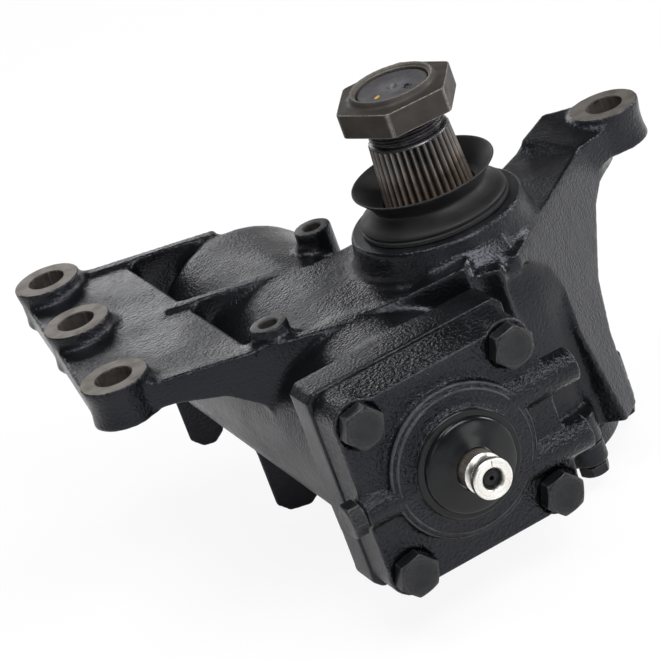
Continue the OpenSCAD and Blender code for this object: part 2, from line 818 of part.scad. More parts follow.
module rack_piston() {
    flat = 2 * bore_d;
    color(dark_steel) difference() {
        along_worm(-piston_front) cylinder(r = piston_r, h = piston_front + piston_rear);
        translate([-worm_offset + rack_tip_x, -piston_front - 1, -flat / 2])
            cube([bore_d, piston_front + flat_end_y + 1, flat]);
        for (i = [-side_teeth : side_teeth]) translate([-worm_offset, i * tooth_pitch, -flat / 2])
            linear_extrude(flat) rack_gap();
        along_worm(-piston_front - 1) cylinder(r = worm_bore_r, h = piston_front + bore_blind_y + 1);
        ball_thread(ball_start_y - ball_d, -ball_start_y + ball_d, worm_bore_r - 0.5, 1);
        along_worm(piston_rear - 20) ring(piston_r + 1, piston_r - 3, 5);
        return_path(tube_r + 0.1, 1);
    }
}

// Return path of the balls: two radial legs bent into a straight run beside the worm
module return_path(r, extra) {
    bend = 7;
    inner_x = -worm_offset - ball_circle_r;
    run_x = inner_x - 20;
    end_y = -ball_start_y + 2;
    for (side = [0, 1]) mirror([0, side, 0]) {
        translate([run_x + bend, -end_y, 0]) rotate([0, 90, 0])
            cylinder(r = r, h = inner_x - run_x - bend + extra);
        translate([run_x + bend, -end_y + bend, 0]) rotate([0, 0, 180]) rotate_extrude(angle = 90)
            translate([bend, 0]) circle(r);
    }
    translate([run_x, -end_y + bend, 0]) rotate([-90, 0, 0]) cylinder(r = r, h = 2 * (end_y - bend));
}

module ball_return_tube() {
    color(dark_steel) difference() {
        return_path(tube_r, 0);
        return_path(ball_r + 0.2, 1);
    }
}

module piston_ring() {
    color(rubber) along_worm(piston_rear - 20 + seat_gap)
        ring(bore_r - run_gap / 2, piston_r - 3 + seat_gap, 5 - 2 * seat_gap);
}

module recirculating_balls() {
    color(steel) for (i = [0 : floor(ball_turns * balls_per_turn)]) at_ball(i) sphere(ball_r, $fn = 32);
}

// Sector shaft and what it carries

module taper_serrations() {
    bottom_r = taper_bottom_d / 2;
    top_r = taper_top_d / 2;
    half = PI * top_r / taper_teeth;
    lean = atan((bottom_r - top_r) / taper_h);
    deep = taper_tooth_h + 2;
    wide = half * deep / taper_tooth_h;
    over = 8;
    for (i = [0 : taper_teeth - 1]) rotate(i * 360 / taper_teeth)
        translate([bottom_r - taper_tooth_h, 0, taper_z]) rotate([0, -lean, 0]) translate([0, 0, -over])
            linear_extrude(taper_h + 2 * over) polygon([[0, 0], [deep, -wide], [deep, wide]]);
}

module sector_shaft() {
    thread_top = taper_z + taper_h + nut_gap + nut_h - 5;
    color(dark_steel) difference() {
        union() {
            linear_extrude(sector_face, center = true) sector_outline();
            cylinder(r = journal_r, h = taper_z - 5);
            translate([0, 0, lower_end_z]) cylinder(r = lower_journal_r, h = -lower_end_z);
            cylinder(r = journal_r - 2, h = taper_z + 1);
            difference() {
                translate([0, 0, taper_z]) cylinder(d1 = taper_bottom_d, d2 = taper_top_d, h = taper_h);
                taper_serrations();
            }
            cylinder(d = nut_thread_d - 4, h = taper_z + taper_h + nut_gap + 1);
            translate([0, 0, taper_z + taper_h + 4])
                cylinder(d = nut_thread_d, h = thread_top - taper_z - taper_h - 5);
            translate([0, 0, thread_top - 1]) cylinder(d1 = nut_thread_d, d2 = nut_thread_d - 2, h = 1);
        }
        translate([0, 0, lower_end_z - 1]) cylinder(r = adjuster_pocket_r, h = adjuster_pocket_h + 1);
        translate([0, 0, thread_top - 6]) cylinder(r1 = 2, r2 = 5, h = 7);
    }
}

module drop_arm_nut() {
    bottom = taper_z + taper_h + nut_gap;
    color(dark_steel) translate([0, 0, bottom]) difference() {
        rotate(-3) chamfered_hexagon(nut_af, nut_h);
        translate([0, 0, -1]) cylinder(r = nut_thread_d / 2 + seat_gap, h = nut_h + 2);
        translate([0, 0, nut_h - 2]) cylinder(r1 = nut_thread_d / 2, r2 = nut_thread_d / 2 + 2.5, h = 2.1);
    }
}

module sector_upper_bearing() {
    color(steel) translate([0, 0, roof_z + 1])
        ring(journal_r + bearing_wall, journal_r + run_gap, bearing_top_z - roof_z - 1);
}

module sector_lower_bearing() {
    color(steel) translate([0, 0, lower_end_z])
        ring(lower_journal_r + lower_bearing_wall, lower_journal_r + run_gap,
             cover_hub_z - lower_end_z - 1);
}

module sector_seal() {
    color(rubber) translate([0, 0, seal_z])
        ring(journal_r + seal_wall, journal_r + run_gap, boss_z - seal_z - 1);
}

// Rubber boot on the boss: a skirt drawn in to a waist and flared out to a lip
module dust_boot() {
    base_r = boss_ring_d / 2 - 6;
    waist_r = base_r - 10;
    lip_r = base_r - 1.8;
    waist_h = 13.5;
    lip_h = 24;
    wall = 2.8;
    steps = 6;
    outer = concat([[base_r, 0], [base_r, 4]],
                   [for (i = [1 : steps]) let (t = i / steps)
                       [base_r + (waist_r - base_r) * t, 4 + (waist_h - 4) * (1 - cos(90 * t))]],
                   [for (i = [1 : steps]) let (t = i / steps)
                       [waist_r + (lip_r - waist_r) * (1 - cos(90 * t)),
                        waist_h + (lip_h - waist_h) * sin(90 * t)]]);
    inner = [for (i = [len(outer) - 1 : -1 : 0])
                [outer[i][0] - wall - (i < 2 ? 4 : 0), outer[i][1] + (i > 7 ? 0.6 : 0)]];
    color(rubber) translate([0, 0, boss_z]) rotate_extrude() polygon(concat(outer, inner));
}

// Side cover under the sector chamber

module side_cover() {
    color(iron_black) difference() {
        union() {
            translate([0, 0, cover_bottom_z]) linear_extrude(cover_t) cover_outline();
            translate([0, 0, -joint_z - 1])
                ring(chamber_bore_r - seat_gap, chamber_bore_r - 6, pilot_h + 1);
            translate([0, 0, -joint_z - 1]) cylinder(r = cover_hub_r, h = cover_hub_z + joint_z + 1);
            translate([0, 0, cover_bottom_z - adjuster_boss_h])
                cylinder(r1 = adjuster_d, r2 = adjuster_d + 4, h = adjuster_boss_h + 1);
        }
        translate([0, 0, lower_end_z])
            cylinder(r = lower_journal_r + lower_bearing_wall + seat_gap, h = 60);
        translate([0, 0, lower_end_z - free_gap]) cylinder(r = lower_journal_r + 1, h = 10);
        translate([0, 0, cover_bottom_z - 20]) cylinder(r = adjuster_r + seat_gap, h = 40);
        translate([0, 0, cover_bottom_z - 1]) at_cover_bolts()
            cylinder(r = cover_bolt_d / 2 + 0.3, h = cover_t + 2);
        translate([0, 0, cover_oring_z]) rotate_extrude() translate([chamber_bore_r, 0])
            square(2 * oring_r, center = true);
    }
}

module side_cover_bolts() {
    color(iron_black) translate([0, 0, cover_bottom_z]) at_cover_bolts() {
        mirror([0, 0, 1]) chamfered_hexagon(cover_bolt_af, cover_head_h);
        cylinder(d = cover_bolt_d, h = cover_bolt_reach);
    }
}

module side_cover_seal() {
    color(rubber) translate([0, 0, cover_oring_z]) rotate_extrude()
        translate([chamber_bore_r - oring_r / 2, 0]) circle(oring_r / 2 - seat_gap, $fn = 24);
}

module adjuster_screw() {
    head_z = lower_end_z + retainer_h + free_gap;
    color(steel) difference() {
        union() {
            translate([0, 0, head_z]) cylinder(r = adjuster_head_r, h = adjuster_head_h);
            translate([0, 0, cover_bottom_z - adjuster_boss_h - lock_nut_h - 5])
                cylinder(r = adjuster_r, h = head_z - cover_bottom_z + adjuster_boss_h + lock_nut_h + 6);
        }
        translate([0, 0, cover_bottom_z - adjuster_boss_h - lock_nut_h - 6]) hexagon(adjuster_r, 6);
    }
}

module adjuster_lock_nut() {
    color(steel) translate([0, 0, cover_bottom_z - adjuster_boss_h]) mirror([0, 0, 1]) difference() {
        chamfered_hexagon(lock_nut_af, lock_nut_h);
        translate([0, 0, -1]) cylinder(r = adjuster_r + seat_gap, h = lock_nut_h + 2);
    }
}

// Ring that traps the adjuster's head in the sector shaft
module adjuster_retainer() {
    color(dark_steel) translate([0, 0, lower_end_z])
        ring(adjuster_pocket_r - seat_gap, adjuster_r + free_gap, retainer_h);
}

on_mounting_plane() housing();
on_mounting_plane() valve_housing();
on_mounting_plane() valve_housing_bolts();
on_mounting_plane() valve_housing_seal();
on_mounting_plane() relief_valve_plug();
on_mounting_plane() input_shaft();
on_mounting_plane() input_bearing();
on_mounting_plane() input_seal();
on_mounting_plane() input_dust_cap();
on_mounting_plane() worm_shaft();
on_mounting_plane() worm_bearing_race();
on_mounting_plane() worm_bearing_balls();
on_mounting_plane() torsion_bar();
on_mounting_plane() torsion_bar_pin();
on_mounting_plane() rack_piston();
on_mounting_plane() piston_ring();
on_mounting_plane() recirculating_balls();
on_mounting_plane() ball_return_tube();
on_mounting_plane() sector_shaft();
on_mounting_plane() drop_arm_nut();
on_mounting_plane() sector_upper_bearing();
on_mounting_plane() sector_lower_bearing();
on_mounting_plane() sector_seal();
on_mounting_plane() dust_boot();
on_mounting_plane() side_cover();
on_mounting_plane() side_cover_bolts();
on_mounting_plane() side_cover_seal();
on_mounting_plane() adjuster_screw();
on_mounting_plane() adjuster_lock_nut();
on_mounting_plane() adjuster_retainer();
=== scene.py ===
# Truck steering gearbox: cast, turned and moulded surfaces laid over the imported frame
import json
import math

import bmesh
import bpy
import numpy as np
import openvdb as vdb
from mathutils import Matrix, Vector

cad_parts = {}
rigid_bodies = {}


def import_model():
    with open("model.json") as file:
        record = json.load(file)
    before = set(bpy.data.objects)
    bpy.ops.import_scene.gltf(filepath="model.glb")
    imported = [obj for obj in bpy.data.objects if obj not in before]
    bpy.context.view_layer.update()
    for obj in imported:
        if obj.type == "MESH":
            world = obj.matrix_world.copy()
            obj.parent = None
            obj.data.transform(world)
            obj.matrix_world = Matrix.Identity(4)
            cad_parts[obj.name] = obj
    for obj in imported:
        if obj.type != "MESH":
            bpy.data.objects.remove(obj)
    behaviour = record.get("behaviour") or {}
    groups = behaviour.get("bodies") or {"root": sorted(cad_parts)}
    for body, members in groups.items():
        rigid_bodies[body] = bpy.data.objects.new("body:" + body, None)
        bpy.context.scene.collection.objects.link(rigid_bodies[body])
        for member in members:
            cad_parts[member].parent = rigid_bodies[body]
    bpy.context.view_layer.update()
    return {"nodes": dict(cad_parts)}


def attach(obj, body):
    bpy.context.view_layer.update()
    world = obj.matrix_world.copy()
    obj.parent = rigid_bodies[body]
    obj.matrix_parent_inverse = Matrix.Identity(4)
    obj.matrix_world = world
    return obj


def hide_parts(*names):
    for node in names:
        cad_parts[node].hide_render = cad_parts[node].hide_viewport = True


for leftOver in list(bpy.data.objects):
    bpy.data.objects.remove(leftOver)
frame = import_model()
nodes = frame["nodes"]
mm = 0.001
mountZ = 68.0  # the mounting plane above the worm axis, in mm
wormX = -78.0  # the worm axis beside the sector shaft, in mm
print("frame loaded,", len(nodes), "nodes")


# Camera and light
photoCamera = {
    "place": (-0.643258, -1.762052, 0.817954),
    "right": (0.848250, -0.422509, -0.319309),
    "up": (0.451944, 0.263200, 0.852333),
    "lens": 199.985, "sensor": 36.0, "farthest": 50.0,
}


def setCamera(spec):
    right, up = Vector(spec["right"]).normalized(), Vector(spec["up"]).normalized()
    back = right.cross(up)
    data = bpy.data.cameras.new("photoCamera")
    data.sensor_width = spec["sensor"]
    data.lens = spec["lens"]
    data.clip_end = spec["farthest"]
    camera = bpy.data.objects.new("photoCamera", data)
    turn = Matrix((right, up, back)).transposed().to_4x4()
    camera.matrix_world = Matrix.Translation(spec["place"]) @ turn
    bpy.context.scene.collection.objects.link(camera)
    bpy.context.scene.camera = camera


setCamera(photoCamera)
bpy.context.scene.view_settings.view_transform = "Standard"
print("camera set")


# Adds one node; settings are its properties, sockets its values or links
def addNode(tree, kind, sockets=None, **settings):
    node = tree.nodes.new(kind)
    for name, value in settings.items():
        setattr(node, name, value)
    for key, value in (sockets or {}).items():
        if isinstance(value, bpy.types.NodeSocket):
            tree.links.new(value, node.inputs[key])
        else:
            node.inputs[key].default_value = value
    return node


# sRGB hex text to the linear colour that Blender mixes in
def linearColour(hexText):
    parts = [int(hexText[i:i + 2], 16) / 255 for i in (1, 3, 5)]
    return tuple(c / 12.92 if c <= 0.04045 else ((c + 0.055) / 1.055) ** 2.4 for c in parts) + (1.0,)


# A fresh material with an empty tree and its Object coordinates
def startMaterial(name):
    material = bpy.data.materials.new(name)
    material.use_nodes = True
    tree = material.node_tree
    tree.nodes.clear()
    coords = addNode(tree, "ShaderNodeTexCoord").outputs["Object"]
    return material, tree, coords


def endMaterial(tree, shader):
    addNode(tree, "ShaderNodeOutputMaterial", {"Surface": shader.outputs[0]})


# Each lamp: place, aim, width and height in metres, watts. The ceiling fades between two heights of a
# ray's direction, and the floor's glow in gloss between two distances from the object
studio = {
    "worldFill": 0.3, "ceiling": 0.1, "ceilingFrom": 0.04, "ceilingTo": 0.3,
    "floorZ": -0.161, "floorSize": 12.0, "paper": "#f4f4f4", "floorWhite": 0.9,
    "glossNear": 0.13, "glossFar": 0.55, "glossFrom": 0.45, "glossTo": 1.3,
    "lamps": {
        "topBox": ((-0.3, 0.0, 1.5), (0, 0, -0.05), 0.8, 0.8, 12.0),
        "topFrontBox": ((0.2, -0.95, 1.0), (-0.05, -0.05, -0.05), 0.9, 0.5, 15.0),
        "backLeftBox": ((0.0, 1.25, 0.42), (-0.15, 0.1, 0), 0.6, 0.3, 2.3),
        "rightRim": ((1.3, -0.2, 0.5), (0, 0, -0.05), 0.5, 0.5, 9.0),
        "frontLow": ((0.75, -1.7, 0.35), (-0.08, -0.1, -0.05), 0.7, 0.35, 2.2),
        "frontFill": ((-1.2, -1.6, 0.9), (0, 0, -0.05), 0.8, 0.8, 3.0),
    },
}


# A white sweep seen by the camera, and in gloss up to a little above the horizon, with a dimmer room over it
def buildWorld(spec):
    world = bpy.data.worlds.new("studioWhite")
    bpy.context.scene.world = world
    world.use_nodes = True
    tree = world.node_tree
    tree.nodes.clear()
    light = addNode(tree, "ShaderNodeLightPath").outputs
    way = addNode(tree, "ShaderNodeTexCoord").outputs["Generated"]
    climb = addNode(tree, "ShaderNodeSeparateXYZ", {0: way}).outputs["Z"]
    room = addNode(tree, "ShaderNodeMapRange", {
        "Value": climb, "From Min": spec["ceilingFrom"], "From Max": spec["ceilingTo"],
        "To Min": 1.0, "To Max": spec["ceiling"]}, interpolation_type="SMOOTHSTEP")
    seen = addNode(tree, "ShaderNodeMath", {
        0: light["Is Camera Ray"], 1: light["Is Transmission Ray"]}, operation="MAXIMUM")
    power = addNode(tree, "ShaderNodeMix", {
        0: light["Is Glossy Ray"], 2: spec["worldFill"], 3: room.outputs[0]})
    power = addNode(tree, "ShaderNodeMix", {0: seen.outputs[0], 2: power.outputs[0], 3: 1.0})
    shell = addNode(tree, "ShaderNodeBackground", {"Color": (1, 1, 1, 1), "Strength": power.outputs[0]})
    addNode(tree, "ShaderNodeOutputWorld", {"Surface": shell.outputs[0]})


# White paper that takes the shadow; it glows a little for the camera, and in gloss more with distance
def buildFloor(spec):
    floorPaper, tree, coords = startMaterial("whitePaperFloor")
    light = addNode(tree, "ShaderNodeLightPath").outputs
    paper = addNode(tree, "ShaderNodeBsdfDiffuse", {"Color": linearColour(spec["paper"])})
    glow = addNode(tree, "ShaderNodeEmission", {"Color": (1, 1, 1, 1), "Strength": 1.0})
    away = addNode(tree, "ShaderNodeVectorMath", {0: coords}, operation="LENGTH").outputs["Value"]
    white = addNode(tree, "ShaderNodeMapRange", {
        "Value": away, "From Min": spec["glossFrom"], "From Max": spec["glossTo"],
        "To Min": spec["glossNear"], "To Max": spec["glossFar"]})
    glossy = addNode(tree, "ShaderNodeMath", {
        0: light["Is Glossy Ray"], 1: white.outputs[0]}, operation="MULTIPLY")
    share = addNode(tree, "ShaderNodeMath", {
        0: light["Is Camera Ray"], 1: spec["floorWhite"]}, operation="MULTIPLY")
    share = addNode(tree, "ShaderNodeMath", {0: share.outputs[0], 1: glossy.outputs[0]}, operation="MAXIMUM")
    endMaterial(tree, addNode(tree, "ShaderNodeMixShader", {
        0: share.outputs[0], 1: paper.outputs[0], 2: glow.outputs[0]}))
    half, z = spec["floorSize"], spec["floorZ"]
    mesh = bpy.data.meshes.new("studioFloor")
    corners = [(-half, -half, z), (half, -half, z), (half, half, z), (-half, half, z)]
    mesh.from_pydata(corners, [], [(0, 1, 2, 3)])
    mesh.materials.append(floorPaper)
    floor = bpy.data.objects.new("studioFloor", mesh)
    bpy.context.scene.collection.objects.link(floor)


def hangLamps(spec):
    for name, (place, aim, wide, high, watts) in spec["lamps"].items():
        data = bpy.data.lights.new(name, "AREA")
        data.shape = "RECTANGLE"
        data.energy, data.size, data.size_y = watts, wide, high
        lamp = bpy.data.objects.new(name, data)
        turn = (Vector(aim) - Vector(place)).to_track_quat("-Z", "Y")
        lamp.matrix_world = Matrix.Translation(place) @ turn.to_matrix().to_4x4()
        bpy.context.scene.collection.objects.link(lamp)


buildWorld(studio)
buildFloor(studio)
hangLamps(studio)
print("studio lit")


# Satin black paint sprayed on sand-cast iron: a dark skin with the sand's grain showing through as pebbled
# gloss, stronger in some patches than in others, and worn grey along sharp edges. The valve housing was
# cast in coarser sand than the main housing. Sizes and depths are in mm; faint and strong are the grain's
# strength in calm and rough patches, and gloss is the range of roughness
fineSand = {
    "name": "satinBlackPaintOnFineSandCasting", "dark": "#08090b", "dusty": "#101114", "worn": "#5a5a5e",
    "grain": 1.7, "deep": 0.8, "faint": 0.45, "strong": 0.95, "swell": 11.0, "swellDeep": 0.7,
    "patch": 40.0, "gloss": (0.21, 0.31),
}
coarseSand = {
    "name": "satinBlackPaintOnCoarseSandCasting", "dark": "#08090b", "dusty": "#101114", "worn": "#5a5a5e",
    "grain": 2.0, "deep": 1.5, "faint": 0.75, "strong": 1.0, "swell": 9.0, "swellDeep": 0.8,
    "patch": 30.0, "gloss": (0.13, 0.2),
}


def makeCastPaint(spec):
    material, tree, coords = startMaterial(spec["name"])
    grain = addNode(tree, "ShaderNodeTexNoise", {
        "Vector": coords, "Scale": 1 / (spec["grain"] * mm), "Detail": 2.5, "Roughness": 0.55})
    swell = addNode(tree, "ShaderNodeTexNoise", {
        "Vector": coords, "Scale": 1 / (spec["swell"] * mm), "Detail": 1.0})
    patch = addNode(tree, "ShaderNodeTexNoise", {
        "Vector": coords, "Scale": 1 / (spec["patch"] * mm), "Detail": 3.0}).outputs[0]
    wear = addNode(tree, "ShaderNodeAttribute", attribute_name="wear").outputs["Fac"]
    spread = addNode(tree, "ShaderNodeMapRange", {"Value": patch, "From Min": 0.35, "From Max": 0.7})
    skin = addNode(tree, "ShaderNodeMix", {
        0: spread.outputs[0], 6: linearColour(spec["dark"]), 7: linearColour(spec["dusty"])},
        data_type="RGBA")
    chipped = addNode(tree, "ShaderNodeMapRange", {
        "Value": patch, "From Min": 0.42, "From Max": 0.6, "To Min": 0.35})
    rubbed = addNode(tree, "ShaderNodeMath", {0: wear, 1: chipped.outputs[0]}, operation="MULTIPLY")
    skin = addNode(tree, "ShaderNodeMix", {
        0: rubbed.outputs[0], 6: skin.outputs[2], 7: linearColour(spec["worn"])}, data_type="RGBA")
    smooth, dull = spec["gloss"]
    gloss = addNode(tree, "ShaderNodeMapRange", {
        "Value": patch, "From Min": 0.3, "From Max": 0.7, "To Min": smooth, "To Max": dull})
    rough = addNode(tree, "ShaderNodeMapRange", {
        "Value": patch, "From Min": 0.4, "From Max": 0.62, "To Min": spec["faint"], "To Max": spec["strong"]})
    low = addNode(tree, "ShaderNodeBump", {
        "Height": swell.outputs[0], "Strength": 0.4, "Distance": spec["swellDeep"] * mm})
    high = addNode(tree, "ShaderNodeBump", {
        "Height": grain.outputs[0], "Strength": rough.outputs[0], "Distance": spec["deep"] * mm,
        "Normal": low.outputs[0]})
    endMaterial(tree, addNode(tree, "ShaderNodeBsdfPrincipled", {
        "Base Color": skin.outputs[2], "Roughness": gloss.outputs[0], "Normal": high.outputs[0],
        "Specular IOR Level": 0.3, "Specular Tint": linearColour("#f0f1ff")}))
    return material


# Machined grey iron left bare: warm grey metal, finely turned, mottled brown where it has been handled
ironSpec = {"bright": "#7d7873", "stain": "#67605a", "cut": 0.5, "cutDeep": 0.08, "mottle": 9.0}


def makeBareIron(spec):
    material, tree, coords = startMaterial("machinedGreyIron")
    cuts = addNode(tree, "ShaderNodeTexNoise", {
        "Vector": coords, "Scale": 1 / (spec["cut"] * mm), "Detail": 1.0})
    mottle = addNode(tree, "ShaderNodeTexNoise", {
        "Vector": coords, "Scale": 1 / (spec["mottle"] * mm), "Detail": 4.0}).outputs[0]
    spread = addNode(tree, "ShaderNodeMapRange", {"Value": mottle, "From Min": 0.42, "From Max": 0.7})
    skin = addNode(tree, "ShaderNodeMix", {
        0: spread.outputs[0], 6: linearColour(spec["bright"]), 7: linearColour(spec["stain"])},
        data_type="RGBA")
    gloss = addNode(tree, "ShaderNodeMapRange", {"Value": mottle, "To Min": 0.5, "To Max": 0.66})
    bump = addNode(tree, "ShaderNodeBump", {
        "Height": cuts.outputs[0], "Strength": 0.25, "Distance": spec["cutDeep"] * mm})
    endMaterial(tree, addNode(tree, "ShaderNodeBsdfPrincipled", {
        "Base Color": skin.outputs[2], "Roughness": gloss.outputs[0], "Metallic": 0.8,
        "Normal": bump.outputs[0]}))
    return material


# Metal and rubber finishes: base and tint mottle together, worn shows on edges, roughness is a range,
# and mottle, grain and depth are the mottle's size, the grain's size and the grain's depth in mm
def makeFinish(spec):
    material, tree, coords = startMaterial(spec["name"])
    patch = addNode(tree, "ShaderNodeTexNoise", {
        "Vector": coords, "Scale": 1 / (spec["mottle"] * mm), "Detail": 4.0}).outputs[0]
    fine = addNode(tree, "ShaderNodeTexNoise", {
        "Vector": coords, "Scale": 1 / (spec["grain"] * mm), "Detail": 2.0}).outputs[0]
    wear = addNode(tree, "ShaderNodeAttribute", attribute_name="wear").outputs["Fac"]
    spread = addNode(tree, "ShaderNodeMapRange", {"Value": patch, "From Min": 0.35, "From Max": 0.68})
    skin = addNode(tree, "ShaderNodeMix", {
        0: spread.outputs[0], 6: linearColour(spec["base"]), 7: linearColour(spec["tint"])}, data_type="RGBA")
    chipped = addNode(tree, "ShaderNodeMapRange", {"Value": fine, "From Min": 0.3, "From Max": 0.62})
    rubbed = addNode(tree, "ShaderNodeMath", {0: wear, 1: chipped.outputs[0]}, operation="MULTIPLY")
    skin = addNode(tree, "ShaderNodeMix", {
        0: rubbed.outputs[0], 6: skin.outputs[2], 7: linearColour(spec["worn"])}, data_type="RGBA")
    smooth, dull = spec["roughness"]
    gloss = addNode(tree, "ShaderNodeMapRange", {
        "Value": patch, "From Min": 0.3, "From Max": 0.7, "To Min": smooth, "To Max": dull})
    bump = addNode(tree, "ShaderNodeBump", {"Height": fine, "Strength": 0.5, "Distance": spec["depth"] * mm})
    endMaterial(tree, addNode(tree, "ShaderNodeBsdfPrincipled", {
        "Base Color": skin.outputs[2], "Roughness": gloss.outputs[0], "Metallic": spec["metallic"],
        "Normal": bump.outputs[0], "Specular IOR Level": spec.get("specular", 0.5)}))
    return material


# Serrated taper of hardened steel: ridges rubbed and painted a lighter grey as a painted highlight, grooves
# painted near black as oil and painted shade, and both paler and browner lower down. The distance from the
# shaft's axis, with the taper's slope taken off, says ridge or groove.
# Bottom and top are heights above the worm axis in mm, fade is how far inside them the change ends
serrationSpec = {
    # Ridge colours carry a painted highlight; groove colours are oil with painted shade
    "ridge": "#6f6b68", "ridgeHighlightLow": "#a5968a", "groove": "#1a1817", "grooveOilShadeLow": "#3c3029", "end": "#4f4d4c",
    "slope": 2.5 / 40, "deep": 24.6, "proud": 26.05, "bottom": 88.0, "top": 128.0, "fade": 8.0, "stain": 5.0,
}


def makeSerratedSteelWithPaintedLight(spec):
    material, tree, coords = startMaterial("oiledSerratedSteelPaintedHighlights")
    axis = addNode(tree, "ShaderNodeSeparateXYZ", {0: coords}).outputs
    plan = addNode(tree, "ShaderNodeCombineXYZ", {"X": axis["X"], "Y": axis["Y"]})
    reach = addNode(tree, "ShaderNodeVectorMath", {0: plan.outputs[0]}, operation="LENGTH").outputs["Value"]
    level = addNode(tree, "ShaderNodeMath", {
        0: axis["Z"], 1: spec["slope"], 2: reach}, operation="MULTIPLY_ADD")
    bottom, top = spec["bottom"] - mountZ, spec["top"] - mountZ
    shift = spec["slope"] * bottom
    # Ridge or groove: ridges take the lighter painted-highlight colours, grooves the dark colours of oil and
    # painted shade
    ridge = addNode(tree, "ShaderNodeMapRange", {
        "Value": level.outputs[0], "From Min": (spec["deep"] + shift) * mm,
        "From Max": (spec["proud"] + shift) * mm})
    stain = addNode(tree, "ShaderNodeTexNoise", {
        "Vector": coords, "Scale": 1 / (spec["stain"] * mm), "Detail": 4.0}).outputs[0]
    lower = addNode(tree, "ShaderNodeMapRange", {
        "Value": axis["Z"], "From Min": (top - spec["fade"]) * mm, "From Max": (bottom + spec["fade"]) * mm})
    ragged = addNode(tree, "ShaderNodeMath", {0: stain, 1: 0.9, 2: -0.45}, operation="MULTIPLY_ADD")
    lower = addNode(tree, "ShaderNodeMath", {
        0: lower.outputs[0], 1: ragged.outputs[0]}, operation="ADD", use_clamp=True)
    high = addNode(tree, "ShaderNodeMix", {
        0: lower.outputs[0], 6: linearColour(spec["ridge"]), 7: linearColour(spec["ridgeHighlightLow"])},
        data_type="RGBA")
    deep = addNode(tree, "ShaderNodeMix", {
        0: lower.outputs[0], 6: linearColour(spec["groove"]), 7: linearColour(spec["grooveOilShadeLow"])},
        data_type="RGBA")
    skin = addNode(tree, "ShaderNodeMix", {
        0: ridge.outputs[0], 6: deep.outputs[2], 7: high.outputs[2]}, data_type="RGBA")
    above = addNode(tree, "ShaderNodeMath", {0: axis["Z"], 1: (top + 1) * mm}, operation="GREATER_THAN")
    skin = addNode(tree, "ShaderNodeMix", {
        0: above.outputs[0], 6: skin.outputs[2], 7: linearColour(spec["end"])}, data_type="RGBA")
    gloss = addNode(tree, "ShaderNodeMapRange", {
        "Value": stain, "From Min": 0.3, "From Max": 0.7, "To Min": 0.26, "To Max": 0.46})
    endMaterial(tree, addNode(tree, "ShaderNodeBsdfPrincipled", {
        "Base Color": skin.outputs[2], "Roughness": gloss.outputs[0], "Metallic": 0.7}))
    return material


castPaint = makeCastPaint(fineSand)
valvePaint = makeCastPaint(coarseSand)
bareIron = makeBareIron(ironSpec)
serratedSteelPaintedLight = makeSerratedSteelWithPaintedLight(serrationSpec)
# The same paint over a machined face: smooth, a soft sheen
facePaint = makeFinish({
    "name": "satinBlackPaintOnMachinedIron", "base": "#101113", "tint": "#1a1b1d", "worn": "#4a4a4a",
    "roughness": (0.3, 0.42), "metallic": 0.0, "specular": 0.3, "mottle": 12.0, "grain": 1.6, "depth": 0.2})
# Bored iron left bare, dull and brown with surface rust, darkened further as painted shade inside the holes
boredIronPaintedShade = makeFinish({
    "name": "rustedBoredIronPaintedShade", "base": "#332d29", "tint": "#1f1b19", "worn": "#6e6259",
    "roughness": (0.6, 0.75), "metallic": 0.0, "mottle": 4.0, "grain": 0.7, "depth": 0.1})
# Painted forged bolts: the same black, smoother, with a soft gloss, rubbed grey on the corners
boltPaint = makeFinish({
    "name": "satinBlackPaintOnForgedSteel", "base": "#121315", "tint": "#1c1d20", "worn": "#4d4c4b",
    "roughness": (0.26, 0.4), "metallic": 0.0, "specular": 0.26, "mottle": 6.0, "grain": 1.5, "depth": 0.25})
# Manganese phosphate on forged steel: dull brown-grey, faintly crystalline, bright where corners are struck
phosphate = makeFinish({
    "name": "phosphatedSteel", "base": "#37332f", "tint": "#2e2a27", "worn": "#8d8780",
    "roughness": (0.5, 0.62), "metallic": 0.3, "specular": 0.3, "mottle": 9.0, "grain": 0.7, "depth": 0.05})
# Thread and neck in black oxide, wet with oil
blackOxide = makeFinish({
    "name": "oiledBlackOxideSteel", "base": "#3a383b", "tint": "#211f22", "worn": "#6a696c",
    "roughness": (0.24, 0.4), "metallic": 0.7, "mottle": 4.0, "grain": 0.8, "depth": 0.04})
# The shaft's turned end, blue-grey from heat treatment
endSteel = makeFinish({
    "name": "hardenedSteelEnd", "base": "#4b4a4c", "tint": "#3c3b3e", "worn": "#77767a",
    "roughness": (0.4, 0.55), "metallic": 0.4, "mottle": 6.0, "grain": 0.8, "depth": 0.05})
# Hardened steel wiped with oil: dark grey with brown stains
oiledSteel = makeFinish({
    "name": "oiledHardenedSteel", "base": "#57504a", "tint": "#3a2f26", "worn": "#7c766f",
    "roughness": (0.3, 0.5), "metallic": 0.75, "mottle": 6.0, "grain": 0.7, "depth": 0.05})
# Ground bright steel, a little grey where it is handled
brightSteel = makeFinish({
    "name": "groundBrightSteel", "base": "#bdb9b3", "tint": "#a5a19b", "worn": "#f0eeea",
    "roughness": (0.3, 0.42), "metallic": 1.0, "mottle": 7.0, "grain": 0.5, "depth": 0.02})
# Fine serration that has been handled: grey tips, brown stains
handledSteel = makeFinish({
    "name": "handledSerratedSteel", "base": "#b3afaa", "tint": "#857a72", "worn": "#c9c6c1",
    "roughness": (0.3, 0.45), "metallic": 0.9, "mottle": 5.0, "grain": 0.6, "depth": 0.03})
# Pressed steel cap in gloss black enamel
capEnamel = makeFinish({
    "name": "glossBlackEnamel", "base": "#0d0e10", "tint": "#131416", "worn": "#232427",
    "roughness": (0.14, 0.22), "metallic": 0.0, "specular": 0.24, "mottle": 14.0, "grain": 5.0,
    "depth": 0.12})
